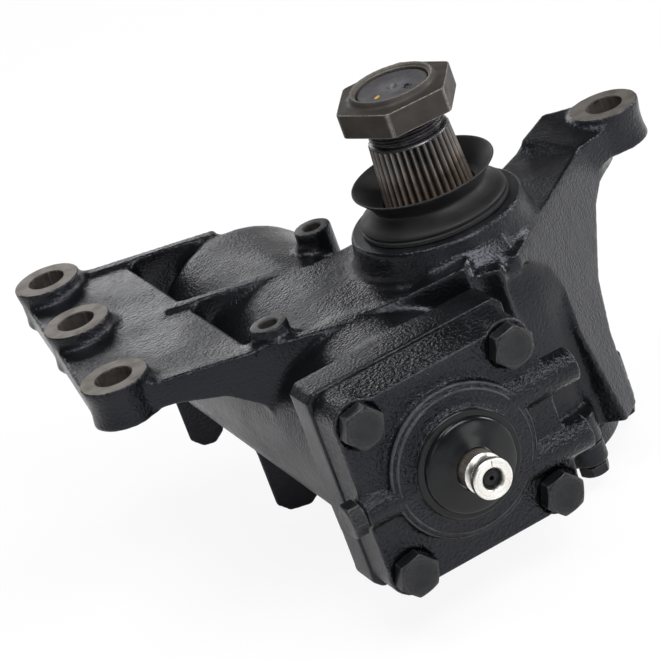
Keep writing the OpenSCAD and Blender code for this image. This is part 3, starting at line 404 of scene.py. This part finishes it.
# Moulded nitrile rubber: matt, faintly bloomed grey, lighter along thin edges
rubber = makeFinish({
    "name": "nitrileRubber", "base": "#131214", "tint": "#1c1b1d", "worn": "#343335",
    "roughness": (0.44, 0.58), "metallic": 0.0, "specular": 0.25, "mottle": 14.0, "grain": 1.0, "depth": 0.1})
# A dab of yellow marking paint
markPaint = makeFinish({
    "name": "yellowMarkingPaint", "base": "#b58a2e", "tint": "#8f6a20", "worn": "#c9a04a",
    "roughness": (0.4, 0.55), "metallic": 0.0, "mottle": 2.0, "grain": 0.8, "depth": 0.08})
print("materials made")


# Distances in metres at which corners merge: on a CAD node, and on a grid of points
cadMerge, gridMerge = 1e-6, 2e-6


# Makes a linked mesh object from points and face rows of one length or two
def meshObject(name, points, *faceSets):
    mesh = bpy.data.meshes.new(name)
    loops = np.concatenate([f.ravel() for f in faceSets if len(f)]).astype(np.int32)
    sizes = np.concatenate([np.full(len(f), f.shape[1], np.int32) for f in faceSets if len(f)])
    mesh.vertices.add(len(points))
    mesh.vertices.foreach_set("co", np.asarray(points, np.float32).ravel())
    mesh.loops.add(len(loops))
    mesh.loops.foreach_set("vertex_index", loops)
    mesh.polygons.add(len(sizes))
    mesh.polygons.foreach_set("loop_start", (np.cumsum(sizes) - sizes).astype(np.int32))
    mesh.update(calc_edges=True)
    mesh.validate()
    piece = bpy.data.objects.new(name, mesh)
    bpy.context.scene.collection.objects.link(piece)
    return piece


# Stores wear, 0 to 1 a point, where the materials read it
def setWear(mesh, wear):
    layer = mesh.attributes.get("wear") or mesh.attributes.new("wear", "FLOAT", "POINT")
    layer.data.foreach_set("value", wear.astype(np.float32))


# Triangles of a CAD node, its loose corners merged
def nodeTriangles(node):
    bm = bmesh.new()
    bm.from_mesh(nodes[node].data)
    bmesh.ops.remove_doubles(bm, verts=bm.verts, dist=cadMerge)
    bmesh.ops.triangulate(bm, faces=bm.faces)
    bm.verts.ensure_lookup_table()
    points = np.array([v.co for v in bm.verts], np.float32)
    faces = np.array([[v.index for v in f.verts] for f in bm.faces], np.int32)
    bm.free()
    return points, faces


# Distance field round a closed surface, wide enough to step out or in by reach
def distanceField(points, faces, voxel, reach):
    kind = "triangles" if faces.shape[1] == 3 else "quads"
    grid = vdb.createLinearTransform(voxelSize=voxel)
    return vdb.FloatGrid.createLevelSetFromPolygons(
        points.astype(np.float32), transform=grid, halfWidth=reach / voxel + 3,
        **{kind: faces.astype(np.uint32)})


# Sum over triangles of the tetrahedron to the origin
def signedVolume(mesh):
    mesh.calc_loop_triangles()
    corners = np.empty(len(mesh.loop_triangles) * 3, np.int32)
    mesh.loop_triangles.foreach_get("vertices", corners)
    co = np.empty(len(mesh.vertices) * 3, np.float32)
    mesh.vertices.foreach_get("co", co)
    a, b, c = co.reshape(-1, 3)[corners.reshape(-1, 3)].transpose(1, 0, 2)
    return float(np.einsum("ij,ij->i", a, np.cross(b, c)).sum() / 6)


# Cast skin of a node: the surface at distance d outside it, then the one d + e inside that, then the one e
# outside that. Stepping out and back by d leaves a fillet of radius d in every inside corner, and
# stepping in and out by e rounds every outside edge by e.
def castSkin(name, node, spec):
    voxel, fillet, edge = (spec[k] * mm for k in ("voxel", "fillet", "edge"))
    points, faces = nodeTriangles(node)
    points, faces = distanceField(points, faces, voxel, fillet).convertToQuads(isovalue=fillet)
    points, faces = distanceField(points, faces, voxel, fillet + edge).convertToQuads(isovalue=-fillet - edge)
    field = distanceField(points, faces, voxel, edge)
    points, triangles, quads = field.convertToPolygons(isovalue=edge, adaptivity=spec["adaptivity"])
    piece = meshObject(name, points, triangles[:, ::-1], quads[:, ::-1])
    if signedVolume(piece.data) < 0:
        piece.data.flip_normals()
    piece.data.shade_smooth()
    print(name, len(points), "points", len(triangles) + 2 * len(quads), "triangles")
    return piece


# Wear of a casting: along each mesh edge the change of normal over the change of place is the curvature. Its
# mean at a point, evened out with the neighbours', is high on outside edges and negative in corners
def castWear(mesh, low, high):
    count = len(mesh.vertices)
    co, normal = np.empty(count * 3, np.float32), np.empty(count * 3, np.float32)
    ends = np.empty(len(mesh.edges) * 2, np.int32)
    mesh.vertices.foreach_get("co", co)
    mesh.vertex_normals.foreach_get("vector", normal)
    mesh.edges.foreach_get("vertices", ends)
    co, normal, pairs = co.reshape(-1, 3), normal.reshape(-1, 3), ends.reshape(-1, 2)
    step = co[pairs[:, 1]] - co[pairs[:, 0]]
    bend = np.einsum("ij,ij->i", normal[pairs[:, 1]] - normal[pairs[:, 0]], step)
    bend /= np.maximum(np.einsum("ij,ij->i", step, step), 1e-8)
    meeting = np.maximum(np.bincount(ends, minlength=count), 1)
    total = np.bincount(ends, np.repeat(bend, 2), count) / meeting
    spread = np.bincount(ends, total[pairs[:, ::-1].ravel()], count) / meeting
    setWear(mesh, np.clip(((total + spread) / 2 - low) / (high - low), 0, 1))


# Surface of grids of points in mm, rows by columns, their columns closed round; equal points are merged,
# so a row on the axis becomes a pole. Each sheet is (grid, wear, place), wear being 0 to 1 a point
def roundGrid(name, sheets, closeRows=False):
    points, faces, worn, start = [], [], [], 0
    for grid, wear, place in sheets:
        rows, cols = grid.shape[:2]
        points.append(grid.reshape(-1, 3) * mm @ np.array(place.to_3x3()).T + np.array(place.translation))
        i, j = np.meshgrid(np.arange(rows if closeRows else rows - 1), np.arange(cols), indexing="ij")
        i2, j2 = (i + 1) % rows, (j + 1) % cols
        quads = np.stack([i * cols + j, i * cols + j2, i2 * cols + j2, i2 * cols + j], axis=-1)
        faces.append(quads.reshape(-1, 4) + start)
        worn.append(np.broadcast_to(wear, (rows, cols)).ravel())
        start += rows * cols
    piece = meshObject(name, np.vstack(points), np.vstack(faces))
    setWear(piece.data, np.concatenate(worn))
    bm = bmesh.new()
    bm.from_mesh(piece.data)
    bmesh.ops.remove_doubles(bm, verts=bm.verts, dist=gridMerge)
    bmesh.ops.recalc_face_normals(bm, faces=bm.faces)
    bm.to_mesh(piece.data)
    bm.free()
    if signedVolume(piece.data) < 0:
        piece.data.flip_normals()
    return piece


# A profile of (radius, height) turned about the local z axis; wobble(angle, radius, height) is added to the
# radius
def turnedGrid(profile, steps, wobble=None):
    profile = np.array(profile, float)
    angle = np.linspace(0, 2 * np.pi, steps, endpoint=False)[None, :]
    r, z = profile[:, :1] + 0 * angle, profile[:, 1:2] + 0 * angle
    if wobble:
        r = r + wobble(angle, r, z)
    return np.stack([r * np.cos(angle), r * np.sin(angle), z], axis=-1)


# A turned piece; a third number in the profile's rows is their wear
def turned(name, profile, place, steps=96, closeRows=False, wobble=None):
    profile = np.array(profile, float)
    wear = profile[:, 2:] if profile.shape[1] > 2 else 0.0
    return roundGrid(name, [(turnedGrid(profile, steps, wobble), wear, place)], closeRows)


# Smooth curve through corner points: Catmull-Rom, n points a span
def smoothLine(points, n):
    p = np.array(points, float)
    p = np.vstack([2 * p[0] - p[1], p, 2 * p[-1] - p[-2]])
    t = np.linspace(0, 1, n, endpoint=False)[:, None]
    spans = [0.5 * (2 * b + (c - a) * t + (2 * a - 5 * b + 4 * c - d) * t ** 2
                    + (3 * b - a - 3 * c + d) * t ** 3)
             for a, b, c, d in zip(p[:-3], p[1:-2], p[2:-1], p[3:])]
    return np.vstack(spans + [p[-2:-1]])


# Where a piece's local z axis points: up from the mounting plane, to the front along the worm axis, to the
# left, or down. Places are in mm, x and y from the sector shaft's axis and z from the worm axis
facing = {
    "up": ((1, 0, 0), (0, 1, 0), (0, 0, 1)),
    "front": ((1, 0, 0), (0, 0, -1), (0, 1, 0)),
    "left": ((0, 0, -1), (1, 0, 0), (0, -1, 0)),
    "down": ((1, 0, 0), (0, -1, 0), (0, 0, -1)),
}


def placeAt(way, x, y, z):
    return Matrix.Translation((x * mm, y * mm, (z - mountZ) * mm)) @ Matrix(facing[way]).to_4x4()


inputPlace = placeAt("front", wormX, 0, 0)
sectorPlace = placeAt("up", 0, 0, 0)


# Gives a piece its material, smooth faces with hard edges where they meet at more than the angle, its body,
# and hides the nodes it replaces; its slot is not used
def finishPiece(piece, body, slot, *replaced, angle, material=None):
    if material:
        piece.data.materials.clear()
        piece.data.materials.append(material)
    piece.data.shade_smooth()
    piece.data.set_sharp_from_angle(angle=math.radians(angle))
    even = piece.modifiers.new("evenShade", "WEIGHTED_NORMAL")
    even.keep_sharp = True
    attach(piece, body)
    if replaced:
        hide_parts(*replaced)


# Cuts pieces out of a casting; the cut faces take the cutter's material
def cutAway(piece, cutters):
    for cutter in cutters:
        mod = piece.modifiers.new("cut", "BOOLEAN")
        mod.operation, mod.solver, mod.object = "DIFFERENCE", "MANIFOLD", cutter
        mod.material_mode = "TRANSFER"
    bpy.context.view_layer.update()
    shape = bpy.data.meshes.new_from_object(piece.evaluated_get(bpy.context.evaluated_depsgraph_get()))
    piece.modifiers.clear()
    piece.data = shape
    for cutter in cutters:
        bpy.data.objects.remove(cutter)


# Castings: voxel, fillet and edge are in mm, and wear runs between two curvatures in 1 / m
housingCast = {
    "voxel": 1.0, "fillet": 4.6, "edge": 0.8, "adaptivity": 0.03, "wearFrom": 280, "wearTo": 900}
valveCast = {
    "voxel": 0.75, "fillet": 1.3, "edge": 0.6, "adaptivity": 0.03, "wearFrom": 200, "wearTo": 900}
coverCast = {
    "voxel": 0.9, "fillet": 3.0, "edge": 1.0, "adaptivity": 0.05, "wearFrom": 200, "wearTo": 900}

# Milled faces of the housing and their holes: face is how deep the mill cuts below top
lugFaces = {
    "places": ((-174, 195.5), (-185, 121), (-199.5, 29.5), (136, 46)),
    "top": mountZ, "face": 0.5, "hole": 10.5, "deep": 40, "rim": 20.9,
}
bracketFaces = {
    "places": ((-116.4, -5.9), (-44.8, 82.2)),
    "top": 69.0, "face": 0.4, "hole": 5.25, "deep": 18.0, "rim": 11.6,
}
bossRing = {"inner": 39.0, "outer": 50.5, "top": 79.5, "face": 0.3}
# A face's cutter stands above its top, a hole's ends in a drill's tip, a share of its radius, and starts
# with a small countersink
cutShape = {
    "faceAbove": 4, "holeAbove": 1, "drillTip": 0.4, "sinkBelow": 0.7, "sinkAbove": 0.2, "sinkWide": 0.9}


# A milled face is a disc cut off the top, a ring where it has an inner radius
def faceCutter(name, place, inner, rim, face, material):
    above = cutShape["faceAbove"]
    profile = [(inner, -face), (rim, -face), (rim, above), (inner, above)]
    cutter = turned(name, profile, place, closeRows=inner > 0)
    cutter.data.materials.append(material)
    return cutter


# A hole is a turned plug with a small countersink below the milled face
def holeCutter(name, place, hole, deep, face, material):
    wide, above = hole + cutShape["sinkWide"], cutShape["holeAbove"]
    profile = [
        (0, -deep - cutShape["drillTip"] * hole), (hole, -deep), (hole, -face - cutShape["sinkBelow"]),
        (wide, -face + cutShape["sinkAbove"]), (wide, above), (0, above)]
    cutter = turned(name, profile, place)
    cutter.data.materials.append(material)
    return cutter


def buildHousing():
    piece = castSkin("housingCasting", "housing", housingCast)
    piece.data.materials.append(castPaint)
    cutters = []
    for name, spec, finish in (("lug", lugFaces, bareIron), ("bracket", bracketFaces, facePaint)):
        for x, y in spec["places"]:
            place = placeAt("up", x, y, spec["top"])
            cutters.append(faceCutter(name + "Face", place, 0, spec["rim"], spec["face"], finish))
            # Hole walls take the bored iron colour, its darkness partly painted shade
            cutters.append(holeCutter(
                name + "Hole", place, spec["hole"], spec["deep"], spec["face"], boredIronPaintedShade))
    place = placeAt("up", 0, 0, bossRing["top"])
    cutters.append(faceCutter(
        "bossFace", place, bossRing["inner"], bossRing["outer"], bossRing["face"], facePaint))
    cutAway(piece, cutters)
    castWear(piece.data, housingCast["wearFrom"], housingCast["wearTo"])
    finishPiece(piece, "gear_case", "cast_iron_black_paint", "housing", angle=35)


# A casting with no milled faces, in one paint
def buildCasting(name, node, spec, paint):
    piece = castSkin(name, node, spec)
    castWear(piece.data, spec["wearFrom"], spec["wearTo"])
    finishPiece(piece, "gear_case", "cast_iron_black_paint", node, material=paint, angle=35)


# Cast beads on the steps of the front ring: each is (ring radius, distance in front of the worm's origin,
# bead radius). Each waver is (size in mm, waves round the ring, start in radians)
frontRidges = {
    "beads": ((43.1, 126.3, 1.2), (40.1, 127.9, 1.1)), "fullest": 125.0, "least": 0.25,
    "wavers": ((0.06, 9, 0), (0.05, 23, 1)), "ringSteps": 180, "beadSteps": 12, "wear": 0.4,
}


# A bead is a small circle carried round the ring; its radius swells and fades with the turn, fullest at the
# upper left, and wavers a little like a rammed sand edge
def buildRidges(spec):
    ring = np.linspace(0, 2 * np.pi, spec["ringSteps"], endpoint=False)[None, :]
    turn = np.linspace(0, 2 * np.pi, spec["beadSteps"], endpoint=False)[:, None]
    least = spec["least"]
    share = (1 + least) / 2 + (1 - least) / 2 * np.cos(ring - math.radians(spec["fullest"]))
    waver = sum(size * np.sin(waves * ring + start) for size, waves, start in spec["wavers"])
    sheets = []
    for radius, ahead, bead in spec["beads"]:
        size = bead * share + waver
        r, z = radius + size * np.cos(turn), ahead + size * np.sin(turn)
        grid = np.stack([r * np.cos(ring), r * np.sin(ring), z], axis=-1)
        sheets.append((grid, spec["wear"], inputPlace))
    piece = roundGrid("valveFrontRidges", sheets, closeRows=True)
    finishPiece(piece, "gear_case", "cast_iron_black_paint", material=valvePaint, angle=60)


buildHousing()
print("housing cast")
buildCasting("valveHousingCasting", "valve_housing", valveCast, valvePaint)
buildRidges(frontRidges)
buildCasting("sideCoverCasting", "side_cover", coverCast, castPaint)
print("valve housing and side cover cast")

# Hexagon heads: turn and chamfer are in degrees, reach is the shank's length. The nut has no shank and no
# chamfer, but a collar of (radius, height above the hexagon, wear) that runs on into its thread
valveBolt = {
    "flats": 22.0, "high": 10.0, "shank": 7.0, "reach": 44.5, "turn": 12.0, "chamfer": 30.0,
    "half": 46.5, "seat": -120.5,
}
coverBolt = {
    "flats": 16.0, "high": 7.0, "shank": 5.0, "reach": 23.0, "turn": 0.0, "chamfer": 30.0,
    "circle": 62.2, "first": -75.0, "count": 6, "seat": -75.0,
}
reliefPlug = {
    "flats": 18.0, "high": 9.0, "shank": 7.0, "reach": 16.0, "turn": 0.0, "chamfer": 30.0,
    "place": (-140.0, -119.5, -2.5),
}
armNut = {
    "flats": 62.0, "high": 15.5, "turn": -3.0, "seat": 140.6,
    "collar": (
        (27.6, 0.1, 0.0), (26.2, 0.35, 0.0), (25.2, 0.9, 0.0), (24.5, 2.0, 0.0), (24.2, 3.6, 0.1),
        (23.9, 4.0, 0.5), (23.4, 4.0, 0.7), (22.7, 3.6, 0.4), (22.2, 2.8, 0.1), (21.9, 2.4, 0.5),
        (21.3, 2.0, 0.1), (21.9, 1.6, 0.5), (21.3, 1.2, 0.1), (21.9, 0.8, 0.3), (21.3, 0.4, 0.0)),
}
# Every head: its points along a side in degrees from the middle, the degrees that a corner's rounding
# takes, that rounding and the top's circle as shares of the width across flats, and the top's dish in mm
hexShape = {
    "side": (-30, -28.8, -27, -22, -12, 0, 12, 22, 27, 28.8), "cornerSpan": 3, "corner": 0.012,
    "circle": 0.465, "dish": 0.3,
}


# A hexagon head on the local z axis with its seat at z = 0. Along each side the radius is half the width
# across flats over the cosine of the angle from the side's middle. A bolt's top is cut by a shallow cone, so
# its edge is an arch on each side, and every edge is a narrow rounded band that wears. Rows are (radius,
# height, wear)
def hexHead(spec):
    flats, high = spec["flats"], spec["high"]
    side = np.array(hexShape["side"])
    angle = np.radians(side[None, :] + 60 * np.arange(6)[:, None] + 30 + spec["turn"]).ravel()
    near = np.tile(np.clip(1 - (30 - abs(side)) / hexShape["cornerSpan"], 0, 1), 6)
    flat = np.tile(flats / 2 / np.cos(np.radians(side)), 6) - near ** 3 * hexShape["corner"] * flats
    circle = hexShape["circle"] * flats

    def inward(share):
        return flat + (circle - flat) * share

    def cone(r):
        return high - (r - circle) * math.tan(math.radians(spec["chamfer"]))

    foot = [
        (0.9 * circle, 0, 0), (circle, 0.15, 0.5), (circle, 0.7, 0.2), (inward(0.3), 0.75, 0.2),
        (inward(0.02), 1.1, 0.9), (flat, 1.7, near * 0.8)]
    if "collar" in spec:
        rows = [(spec["collar"][-1][0], 0, 0)] + foot
        rows += [
            (flat, high - 2.0, near * 0.8), (flat, high - 0.7, near * 0.9), (inward(0.025), high - 0.15, 1),
            (inward(0.07), high, 0.7), (inward(0.16), high, 0)]
        rows += [(r, high + z, wear) for r, z, wear in spec["collar"]]
    else:
        shank, reach, dish = spec["shank"], spec["reach"], hexShape["dish"]
        rows = [(0, -reach, 0), (shank, -reach, 0), (shank, 0, 0)] + foot
        rows += [
            (flat, (cone(flat) + 1.7) / 2, near * 0.8), (flat, cone(flat) - 0.55, near * 0.8),
            (inward(0.04), cone(flat) - 0.05, 1), (inward(0.22), cone(inward(0.22)), 0.35),
            (inward(0.8), cone(inward(0.8)), 0.1), (circle, high - 0.06, 0.5), (0.93 * circle, high, 0.1),
            (0.72 * circle, high, 0.1), (0.6 * circle, high - dish, 0), (0, high - dish, 0)]
    r, z, wear = (np.stack([row[k] * np.ones_like(angle) for row in rows]) for k in range(3))
    return np.stack([r * np.cos(angle), r * np.sin(angle), z], axis=-1), wear


# One piece of equal heads, one at each place
def buildHexes(name, spec, places, body, slot, node, finish):
    grid, wear = hexHead(spec)
    piece = roundGrid(name, [(grid, wear, place) for place in places], closeRows="collar" in spec)
    finishPiece(piece, body, slot, node, material=finish, angle=42)


def buildBolts():
    half, seat = valveBolt["half"], valveBolt["seat"]
    places = [placeAt("front", wormX + i * half, seat, j * half) for i in (-1, 1) for j in (-1, 1)]
    buildHexes("valveHousingBolts", valveBolt, places, "gear_case", "bolt_black_paint",
               "valve_housing_bolts", boltPaint)
    count, circle, seat = coverBolt["count"], coverBolt["circle"], coverBolt["seat"]
    turn = np.radians(coverBolt["first"] + 360 / count * np.arange(count))
    places = [placeAt("down", circle * math.cos(a), circle * math.sin(a), seat) for a in turn]
    buildHexes("sideCoverBolts", coverBolt, places, "gear_case", "bolt_black_paint",
               "side_cover_bolts", boltPaint)
    places = [placeAt("left", *reliefPlug["place"])]
    buildHexes("reliefValvePlug", reliefPlug, places, "gear_case", "bolt_black_paint",
               "relief_valve_plug", boltPaint)
    places = [placeAt("up", 0, 0, armNut["seat"])]
    buildHexes("dropArmNut", armNut, places, "sector", "phosphated_steel", "drop_arm_nut", phosphate)


buildBolts()
print("bolts, plug and nut made")

# The sector shaft's neck, heights in mm above the worm axis, with its thread above the relief groove. The
# neck's rows are (radius, height, wear)
neckThread = {
    "root": 21.05, "crest": 21.95, "pitch": 2.0, "rowsInPitch": 10, "from": 131.0, "to": 143.0,
    "power": 0.7, "wear": 0.25,
    "neck": (
        (19.5, 143.0, 0), (19.5, 127.4, 0), (22.7, 127.4, 0.3), (23.05, 128.3, 1), (22.6, 129.1, 1),
        (21.5, 129.5, 0.3), (20.4, 129.6, 0), (20.4, 130.6, 0)),
}


# Thread of the sector shaft under its nut: the radius is a rounded saw of height over pitch plus turn
def buildNeckThread(spec):
    root, deep = spec["root"], spec["crest"] - spec["root"]

    def saw(angle, r, z):
        phase = (z / spec["pitch"] - angle / (2 * np.pi)) % 1.0
        live = (r >= root) & (z >= spec["from"]) & (z <= spec["to"])
        return np.where(live, deep * (0.5 - 0.5 * np.cos(2 * np.pi * phase)) ** spec["power"], 0.0)

    rows = np.arange(spec["from"], spec["to"], spec["pitch"] / spec["rowsInPitch"])
    profile = list(spec["neck"]) + [(root, z, spec["wear"]) for z in rows]
    thread = turned("sectorNeckThread", profile, sectorPlace, steps=120, closeRows=True, wobble=saw)
    finishPiece(thread, "sector", "oiled_steel", material=blackOxide, angle=45)


buildNeckThread(neckThread)

# The shaft's end inside the nut's collar, with its centre hole, a punch mark and a dab of paint. The end's
# rows are (radius, height above the worm axis, wear), the marks stand on its face
shaftEnd = {
    "end": (
        (0, 154.4, 0), (0, 155.2, 0), (1.6, 155.3, 0), (2.0, 155.9, 0), (3.4, 157.2, 0.3),
        (3.7, 157.4, 0.6), (12, 157.45, 0), (19.7, 157.4, 0.3), (20.4, 156.8, 0.2), (20.4, 154.4, 0)),
    "face": 157.4,
    "punchPlace": (5.1, -9.4),
    "punch": ((0, -0.3), (0, 0.06), (1.0, 0.1), (1.7, 0.7), (2.3, 0.5), (2.8, -0.3)),
    "dabPlace": (-11.9, -4.7),
    "dab": ((0, 0.5), (0.7, 0.45), (1.1, 0.3), (1.4, -0.3), (0, -0.3)),
    "dabStretch": 0.6, "dabTurn": 0.35, "markSteps": 24,
}


def buildShaftEnd(spec):
    end = turned("sectorShaftEnd", spec["end"], sectorPlace)
    finishPiece(end, "sector", "oiled_steel", material=endSteel, angle=40)
    place = placeAt("up", *spec["punchPlace"], spec["face"])
    crater = turned("shaftEndPunch", spec["punch"], place, steps=spec["markSteps"])
    finishPiece(crater, "sector", "oiled_steel", material=blackOxide, angle=60)

    # The brush drew the dab out to both sides
    def stretch(angle, r, z):
        return r * spec["dabStretch"] * np.cos(angle - spec["dabTurn"]) ** 2

    place = placeAt("up", *spec["dabPlace"], spec["face"])
    dab = turned("shaftEndDab", spec["dab"], place, steps=spec["markSteps"], wobble=stretch)
    finishPiece(dab, "sector", "oiled_steel", material=markPaint, angle=60)


buildShaftEnd(shaftEnd)

# Outline of the boot in mm above the boss: a stepped foot, a cone drawn in to the waist, a thin flared lip,
# and inside it a funnel down to the shaft. The lip's wear starts lipAhead rows before it
bootSpec = {
    "foot": (
        (38.0, 0.0), (42.5, 0.0), (43.0, 0.4), (43.0, 2.3), (42.6, 2.7), (41.7, 2.9), (41.7, 3.5),
        (42.3, 3.8)),
    "outside": (
        (42.5, 4.3), (42.1, 5.2), (40.6, 6.4), (38.0, 8.0), (35.6, 9.8), (34.0, 11.4), (33.2, 12.6),
        (33.3, 13.8), (34.4, 15.6), (36.4, 18.2), (38.9, 21.0), (41.0, 23.3)),
    "lip": ((41.4, 23.8), (41.3, 24.3), (40.8, 24.4)),
    "funnel": (
        (40.2, 24.0), (38.0, 21.9), (35.4, 19.2), (32.8, 16.4), (30.4, 14.0), (28.4, 12.6), (27.0, 12.2),
        (26.5, 11.6), (26.7, 10.6), (28.4, 9.8), (31.0, 9.4), (34.0, 7.2), (37.0, 4.6), (38.0, 3.0)),
    "lipWear": (0.2, 0.5, 1, 1, 1, 1, 0.5, 0.2), "lipAhead": 3, "footWear": 0.5,
    "seam": 0.16, "seamTurn": -62.0, "seamWide": 0.5, "seamFrom": 31,
}


def buildBoot(spec):
    outside, funnel = smoothLine(spec["outside"], 6), smoothLine(spec["funnel"], 5)
    profile = np.vstack([spec["foot"], outside, spec["lip"], funnel])
    wear = np.zeros(len(profile))
    lipAt = len(spec["foot"]) + len(outside) - spec["lipAhead"]
    wear[lipAt:lipAt + len(spec["lipWear"])] = spec["lipWear"]
    wear[2:5] = spec["footWear"]

    # The mould's parting line stands a little proud on opposite sides
    def seam(angle, r, z):
        off = (angle - math.radians(spec["seamTurn"]) + np.pi / 2) % np.pi - np.pi / 2
        ridge = spec["seam"] * np.exp(-(off * r / spec["seamWide"]) ** 2)
        return np.where(r > spec["seamFrom"], ridge, 0.0)

    place = placeAt("up", 0, 0, bossRing["top"])
    boot = turned("sectorDustBoot", np.column_stack([profile, wear]), place, steps=240, closeRows=True,
                  wobble=seam)
    finishPiece(boot, "gear_case", "black_rubber", "dust_boot", material=rubber, angle=40)


buildBoot(bootSpec)

# Outline of the dust cap in mm in front of the worm's origin: a wide rolled flange, a shoulder and a low dome
# drawn in close to the shaft
capSpec = {
    "inside": ((12.2, 140.6), (17.0, 136.8), (22.0, 134.2), (25.0, 131.25)),
    "rim": (
        (30.0, 131.2), (30.7, 131.5), (30.9, 132.2), (30.6, 132.9), (29.8, 133.3), (28.6, 133.3),
        (27.7, 133.2), (27.3, 133.4)),
    "dome": (
        (27.2, 134.0), (26.9, 135.2), (25.9, 136.3), (23.9, 137.3), (20.8, 138.5), (17.4, 139.7),
        (14.6, 140.8), (13.0, 141.4)),
    "lip": ((12.5, 141.6), (12.25, 141.4)),
}


def buildCap(spec):
    profile = np.vstack([spec["inside"], spec["rim"], smoothLine(spec["dome"], 6), spec["lip"]])
    cap = turned("inputDustCap", profile, inputPlace, steps=128, closeRows=True)
    finishPiece(cap, "input", "black_pressed_cap", "input_dust_cap", material=capEnamel, angle=50)


buildCap(capSpec)

# Outline of the input shaft in mm in front of the worm's origin, from the torsion bar's bore round the spool
# to the end and the floor of the recess for the plug. Teeth are cut where a land's height and the least
# radius say; handled is the part with the darker finish
inputSpec = {
    "bore": ((0.0, 143.4), (4.05, 143.0), (4.05, 101.0)),
    "spool": ((11.0, 101.0), (11.0, 113.0), (13.0, 113.0), (13.0, 138.4), (12.6, 138.8), (11.65, 138.8)),
    "rear": ((11.65, 139.2), (11.65, 149.0)),
    "groove": (
        (11.5, 149.3), (10.7, 149.9), (9.9, 150.9), (9.6, 152.0), (9.6, 153.4), (9.9, 154.4), (10.6, 155.0)),
    "collar": ((11.4, 155.5), (11.65, 155.8), (11.65, 158.8)),
    "end": (
        (11.55, 159.1), (11.2, 159.75), (10.9, 160.0), (9.7, 160.0), (9.55, 159.85), (9.4, 160.0),
        (6.9, 160.0), (6.6, 159.8), (5.4, 157.8), (5.35, 153.6)),
    "floor": ((0.0, 153.6),),
    "wear": {"groove": (0.9, 0.9, 0, 0, 0, 0, 0), "end": (1, 1, 1, 1, 1, 1, 1, 1, 0, 0)},
    "teeth": 60, "toothDeep": 0.6, "toothLeast": 9.2, "lands": ((139.1, 149.1), (155.6, 158.9)),
    "handled": (138.9, 149.2),
    "plug": (
        (5.3, 157.4), (5.1, 158.2), (4.8, 158.3), (4.4, 157.9), (4.2, 157.2), (3.8, 157.1), (3.0, 157.5),
        (1.7, 157.7), (1.3, 157.5), (1.1, 155.0), (0.0, 155.0), (0.0, 154.2), (5.3, 154.2)),
}


def buildInputShaft(spec):
    parts = ("bore", "spool", "rear", "groove", "collar", "end", "floor")
    profile = np.vstack([spec[part] for part in parts])
    wear = np.concatenate([spec["wear"].get(part, np.zeros(len(spec[part]))) for part in parts])

    # Teeth: on the rear land and the collar the radius falls by a saw of the turn
    def teeth(angle, r, z):
        saw = np.abs(((angle * spec["teeth"] / (2 * np.pi)) % 1.0) - 0.5) * 2
        land = np.any([(z > low) & (z < high) for low, high in spec["lands"]], axis=0)
        return np.where(land & (r > spec["toothLeast"]), -spec["toothDeep"] * saw, 0.0)

    shaft = turned("inputShaftTurned", np.column_stack([profile, wear]), inputPlace, steps=480, wobble=teeth)
    finishPiece(shaft, "input", "bright_steel", "input_shaft", material=brightSteel, angle=32)
    shaft.data.materials.append(handledSteel)
    middle = np.empty(len(shaft.data.polygons) * 3, np.float32)
    shaft.data.polygons.foreach_get("center", middle)
    ahead = -middle.reshape(-1, 3)[:, 1] / mm
    low, high = spec["handled"]
    shaft.data.polygons.foreach_set("material_index", ((ahead > low) & (ahead < high)).astype(np.int32))
    plug = turned("inputShaftCentrePlug", spec["plug"], inputPlace, steps=64, closeRows=True)
    finishPiece(plug, "input", "black_pressed_cap", material=capEnamel, angle=50)


# The line scribed on the shaft's end, drawn as a thin dark strip of painted shade in place of the scribed
# groove: a thin disc of radius 1 is drawn out from near to far along the turn, and to its width across it
scribeSpec = {
    "disc": ((0, -0.05), (1, -0.05), (1, 0.03), (0, 0.03)), "steps": 24,
    "near": 6.9, "far": 11.0, "wide": 0.5, "turn": 78.0, "face": 160,
}


def buildScribe(spec):
    x, y, z = np.moveaxis(turnedGrid(spec["disc"], spec["steps"]), -1, 0)
    along = spec["near"] + (x + 1) / 2 * (spec["far"] - spec["near"])
    side = y * spec["wide"] / 2
    cos, sin = math.cos(math.radians(spec["turn"])), math.sin(math.radians(spec["turn"]))
    grid = np.stack([along * cos - side * sin, along * sin + side * cos, spec["face"] + z], axis=-1)
    line = roundGrid("inputShaftScribePaintedShade", [(grid, 0.0, inputPlace)])
    finishPiece(line, "input", "bright_steel", material=blackOxide, angle=60)


buildInputShaft(inputSpec)
buildScribe(scribeSpec)
print("boot, cap and shafts made")

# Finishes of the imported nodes; those not named here are bright steel
nodeFinish = {
    "valve_housing_bolts": boltPaint, "relief_valve_plug": boltPaint, "side_cover_bolts": boltPaint,
    "input_dust_cap": capEnamel, "sector_shaft": serratedSteelPaintedLight, "drop_arm_nut": phosphate,
    "dust_boot": rubber, "valve_housing_seal": rubber, "input_seal": rubber, "sector_seal": rubber,
    "side_cover_seal": rubber, "piston_ring": rubber, "adjuster_lock_nut": phosphate,
    "adjuster_retainer": oiledSteel, "rack_piston": oiledSteel, "torsion_bar_pin": oiledSteel,
    "ball_return_tube": oiledSteel,
}
for name, node in nodes.items():
    node.data.materials.clear()
    node.data.materials.append(nodeFinish.get(name, brightSteel))
print("nodes finished")
